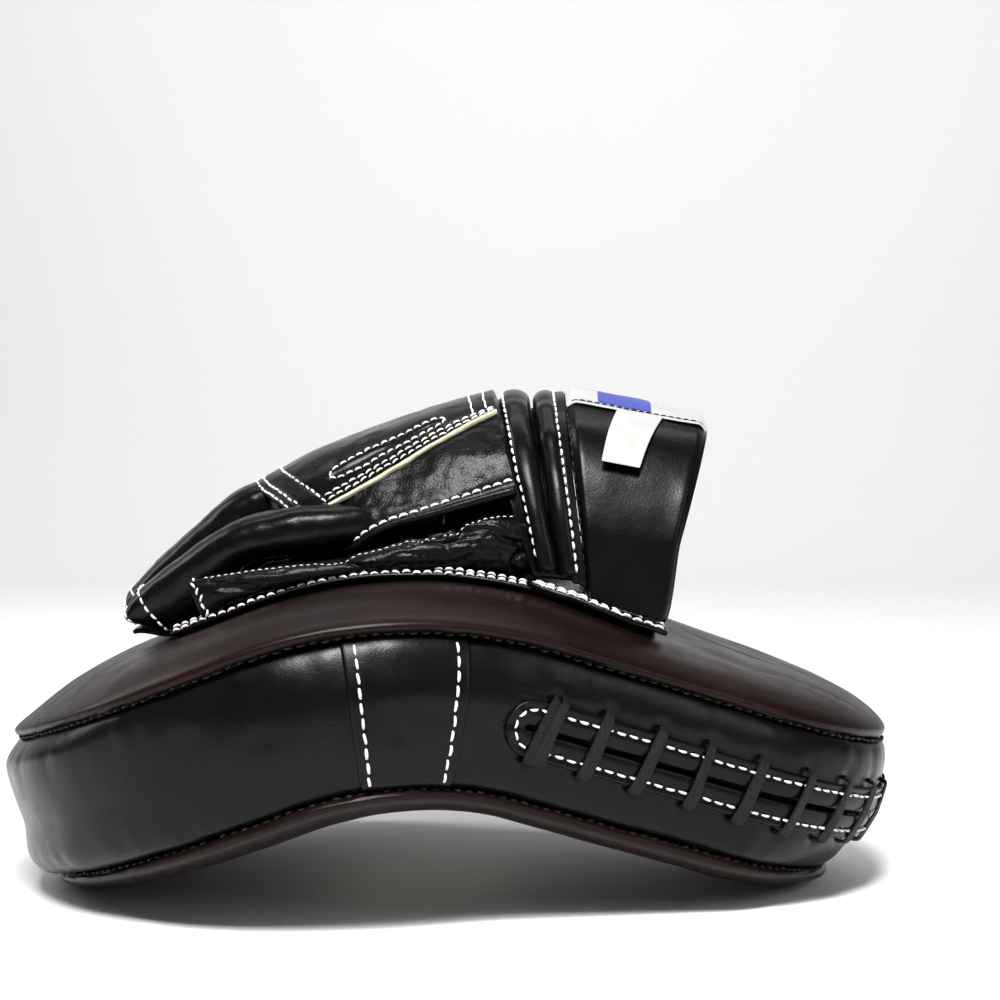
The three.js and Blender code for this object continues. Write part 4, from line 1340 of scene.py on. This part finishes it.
def rolls():
    """The two padded rolls at the wrist; the front one has a row of stitches at its edge."""
    count, around = 120, 40
    angle = mix(2.5, 177.5, np.linspace(0, 1, count))
    cos, sin = turns(around)
    for i, (name, seam_at, narrow) in enumerate((("front", -1, 0.0), ("rear", 1, 0.9))):
        centre = arch_point(np.tile(ARCHES["roll_" + name], (count, 1)), angle)
        across, out = tube_frame(centre, (1.0, 0.0, 0.0))
        out *= np.sign((out * (centre - ROLLS_MIDDLE)).sum(1, keepdims=True))
        half = mix(2.9, 4.6 - narrow, np.sin(np.radians(angle)))
        centre = centre - across * (0.5 * narrow)
        points, normal = swept(centre, across, out, half[:, None] * cos,
                               3.7 * blunt(sin, 0.9)[None])
        line = points * np.array([0.3, 1.0, 1.0])
        lump = 0.5 * noise(line, 9.0, 150 + i) + 0.2 * noise(line, 4.0, 152 + i)
        groove = -0.9 * dent(cos - seam_at * 0.86, 0.12) * (sin > 0)
        points = points + normal * (lump + groove[None])[..., None]
        roll = leather_tube("roll_" + name + "_leather", points, BLACK, "wrist_roll_" + name)
        if name == "front":
            column = round(0.39 * around)
            line = points[3:-3, column], normal[3:-3, column]
            thread_piece(row_stitches(*line, "wrist", 161), roll)


def wrist_liner():
    """Lining behind the two rolls, and the sewn border between the rear roll and the strap."""
    inner = loft("seam", "roll_rear")
    surface = Surface(lambda u, v: inner(mix(-0.3, 1.2, u), mix(1.0, 179.0, v)), ROLLS_MIDDLE,
                      lambda u, v, p: -2.6 + 0.3 * noise(p, 9.0, 165))
    leather_piece("wrist_lining", surface, 24, 110, 1.0, SOFT_BLACK)
    outer = loft("roll_rear", "strap_front")

    def relief(u, v, p):
        return mix(2.2, -0.6, u) - 0.5 * dent(u - 0.3, 0.1) + 0.15 * noise(p, 6.0, 166)
    surface = Surface(lambda u, v: outer(mix(0.3, 0.92, u), mix(1.5, 178.5, v)), ROLLS_MIDDLE,
                      relief)
    piece = leather_piece("wrist_border_leather", surface, 14, 110, 1.3, BLACK)
    sew(piece, surface, "wrist", 167, (0.3, np.linspace(0.015, 0.985, 120)))


def base():
    """Sole of the glove on the back panel, the fingertip tab and the two sewn feet."""
    def point(u, v):
        s = mix(-58.5, 62.0, u)
        half = 51.5 * (1 - 0.12 * np.abs(2 * u - 1) ** 6)
        return on_back(s, half * (2 * v - 1), 1.8)

    def relief(u, v, p):
        edge = np.minimum(v, 1 - v)
        return 0.4 * noise(p, 10.0, 171) + 1.5 * dent(edge - 0.03, 0.025)
    surface = Surface(point, UNDER_BACK, relief)
    piece = leather_piece("glove_sole_leather", surface, 90, 80, 1.3, SOFT_BLACK, "glove_base")
    u = np.linspace(0.01, 0.99, 120)
    sew(piece, surface, "sole", 181, *((u, v) for v in (0.008, 0.026, 0.974, 0.992)))

    def tab(u, v):
        return on_back(mix(-71.0, -54.0, u), mix(-32.0, 32.0, v), mix(7.0, 1.5, smooth(u, 0, 0.75)))
    surface = Surface(tab, UNDER_BACK, lambda u, v, p: 0.3 * noise(p, 5.0, 173))
    piece = leather_piece("fingertip_tab_leather", surface, 18, 50, 1.4, SOFT_BLACK,
                          "fingertip_anchor")
    v = np.linspace(0.02, 0.98, 60)
    sew(piece, surface, "tab", 191, (0.15, v), (0.35, v))

    for name, node, side in (("strap_foot", "strap_base_flange", -1),
                             ("cuff_foot", "cuff_base_flange_far", 1)):
        foot(name, node, side)
    recolour("palm_ball", SOFT_BLACK)


def foot(name, node, side):
    """Teardrop flange with a worn double row of stitches."""
    def point(u, v):
        s = mix(26.0, 64.0, u)
        taper = np.sin(np.pi * mix(0.1, 0.78, u)) ** 0.6
        y = mix(45.5, mix(45.5, 56.5, taper), v)
        return on_back(s, side * y, 3.8)

    def relief(u, v, p):
        return 0.35 * noise(p, 5.0, 201) + 0.3 * dent(v - 0.5, 0.15)
    surface = Surface(point, UNDER_BACK, relief)
    piece = leather_piece(name + "_leather", surface, 46, 16, 1.6, SOFT_BLACK, node)
    rows = []
    t = np.linspace(0.03, 0.97, 60)
    for i, v in enumerate((0.08, 0.15, 0.86)):
        line = on_surface(surface, t, v + 0.02 * np.sin(9 * t + i))
        rows += row_stitches(*line, "foot", 211 + i)
        rows += row_stitches(*line, "foot_frayed", 214 + i)
    thread_piece(rows, piece)


# ---- wrist strap ----
SHOULDER, STRAP_END = 35.0, 150.0


def strap_surface(low, high, first, last, lift, relief):
    """Patch over the strap between two angles (v) and two places across it (u)."""
    def point(u, v):
        return strap(mix(first, last, u), mix(low, high, v))
    return Surface(point, STRAP_MIDDLE, lambda u, v, p: lift + relief(u, v, p))


def shoulder_rise(p):
    """Extra padding where the strap turns over the wrist."""
    return 1.3 * dent(p[..., 2] - 69.0, 9.0) * smooth(-p[..., 1], 10, 24)


def pillow(u, v, p):
    """Padding of the strap: flat in the middle, rolled down to its sewn edges."""
    edge = np.minimum(u, 1 - u)
    roll = -2.2 * (1 - smooth(edge, 0, 0.09)) ** 2
    return roll + shoulder_rise(p) + 0.35 * noise(p, 16.0, 221) + 0.12 * noise(p, 6.0, 222)


def wrist_strap():
    """Padded strap over the wrist, whose foot is drawn down to the flange it is sewn on."""
    def point(u, v):
        p = strap(u, mix(0.25, STRAP_END, v))
        return sewn_down(p, (1 - smooth(v, 0.0, 0.12)) * 0.96, 3.4)
    surface = Surface(point, STRAP_MIDDLE, lambda u, v, p: 0.2 + pillow(u, v, p))
    whole = skin("strap_leather", surface, rounded_rows(44), 150, 4.2, BLACK)
    start = place(strap(np.array(0.5), SHOULDER - 7))
    end = place(strap(np.array(0.5), SHOULDER + 7))
    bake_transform(whole)
    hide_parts("strap_wall", "strap_flap")
    rows = sewn_row(surface, 0.012, np.linspace(0.0, 0.98, 160), "strap", 231)
    stitches = join_meshes("strap_stitches", rows, BLACK_THREAD)
    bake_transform(stitches)


def inner_cuff():
    """The flap under the strap, and the two halves of the touch fastener between them."""
    def point(u, v):
        p = strap(mix(0.12, 0.9, u), mix(72, 176, np.minimum(v / 0.88, 1)))
        return sewn_down(p, smooth(v, 0.84, 1.0), 2.4, 54.5)

    def relief(u, v, p):
        return 0.3 * noise(p, 12.0, 241) - 7.3 * (1 - smooth(v, 0.8, 1))
    leather_piece("cuff_under_leather", Surface(point, STRAP_MIDDLE, relief), 40, 110, 3.0,
                  SOFT_BLACK, "cuff_under_flap")
    for half, body, span, edges, lift in (
        ("hook", "strap_flap", (88, 144), (0.22, 0.8), -4.3),
        ("loop", "root", (82, 158), (0.2, 0.82), -5.8),
    ):
        surface = strap_surface(*span, *edges, lift, lambda u, v, p: 0.12 * noise(p, 2.0, 243))
        piece = skin(half + "_pad", surface, 50, 80, 1.1, TOUCH)
        keep_piece(piece, body, "touch_fastener", half + "_patch")


def label():
    """Blank woven label on the strap, with a plain blue field, sewn along its border."""
    def relief(u, v, p):
        return pillow(u * 0.98 + 0.01, v, p) + 0.25 * noise(p, 9.0, 251)
    surface = strap_surface(66, 98, 0.01, 0.99, 1.15, relief)
    piece = skin("woven_label_cloth", surface, rounded_rows(60), 34, 0.5, LABEL)
    keep_piece(piece, "strap_flap", "label_satin", "woven_label")
    field = strap_surface(69, 95, 0.2, 0.62, 1.4, relief)
    skin("label_field", field, 30, 24, 0.22, LABEL_BLUE).parent = piece
    rows = []
    for i, v in enumerate((0.05, 0.95)):
        rows += sewn_row(surface, np.linspace(0.03, 0.97, 60), v, "label", 261 + i)
    thread_piece(rows, piece, BLACK_THREAD, "label_stitches")


def care_tag():
    """Satin tag folded out from under the label's edge."""
    def relief(u, v, p):
        lift = 1.3 + 2.2 * (1 - smooth(v, 0.0, 0.9))
        return lift + shoulder_rise(p) + 0.25 * noise(p, 7.0, 271)

    def point(u, v):
        k = mix(mix(0.22, 0.36, v), mix(0.53, 0.68, v), u)
        return strap(k, mix(37.6, 66.5, v))
    surface = Surface(point, STRAP_MIDDLE, relief)
    piece = skin("care_tag_satin", surface, 30, 36, 0.28, SATIN)
    sewn, _ = on_surface(surface, np.array([0.5, 0.5]), np.array([0.97, 0.74]))
    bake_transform(piece)
    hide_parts("care_tag")


# ---- stage ----
LIGHTS = {  # place and size in metres, and watts
    "key_top": ((-0.1, -0.66, 0.86), (0.38, 0.2), 14.5),
    "shoulder_light": ((0.06, -0.62, 1.0), (0.2, 0.12), 10.0),
    "fill_right": ((0.9, -0.55, 0.55), (0.4, 0.5), 2.2),
    "rim_left": ((-0.85, 0.3, 0.6), (0.3, 0.6), 3.0),
    "backdrop_wash": ((0.0, 0.55, 1.5), (1.6, 0.5), 13.0),
}
WASH_TILT = math.radians(38)
SKY = 0.15
FLOOR_HALF, FLOOR_BACK, FLOOR_CURVE, FLOOR_HIGH = 3.0, 1.2, 0.6, 3.0


def stage():
    """Pale floor that curves up to a backdrop, the lights and a faint even sky."""
    profile = [(-FLOOR_HALF, 0.0)]
    for turn in np.linspace(0, math.pi / 2, 25):
        profile.append((FLOOR_BACK + FLOOR_CURVE * math.sin(turn),
                        FLOOR_CURVE * (1 - math.cos(turn))))
    profile.append((FLOOR_BACK + FLOOR_CURVE, FLOOR_HIGH))
    points = [(x, y, z) for y, z in profile for x in (-FLOOR_HALF, FLOOR_HALF)]
    faces = [(2 * i, 2 * i + 1, 2 * i + 3, 2 * i + 2) for i in range(len(profile) - 1)]
    mesh = bpy.data.meshes.new("floor")
    mesh.from_pydata(points, [], faces)
    look = Look("pale_floor", Base_Color=(0.86, 0.86, 0.86, 1), Roughness=0.6)
    mesh.materials.append(look.material)
    mesh.shade_smooth()
    linked("floor", mesh)
    for name, light in LIGHTS.items():
        softbox(name, *light)
    bpy.data.objects["backdrop_wash"].rotation_euler = (WASH_TILT, 0, 0)
    scene = bpy.context.scene
    scene.world = bpy.data.worlds.new("studio")
    scene.world.use_nodes = True
    sky = scene.world.node_tree.nodes["Background"].inputs
    sky["Color"].default_value = (1, 1, 1, 1)
    sky["Strength"].default_value = SKY
    scene.view_settings.view_transform = "Standard"


stage()
pad()
facing()
lace_bars()
build_glove()
wrist_strap()
inner_cuff()
label()
care_tag()
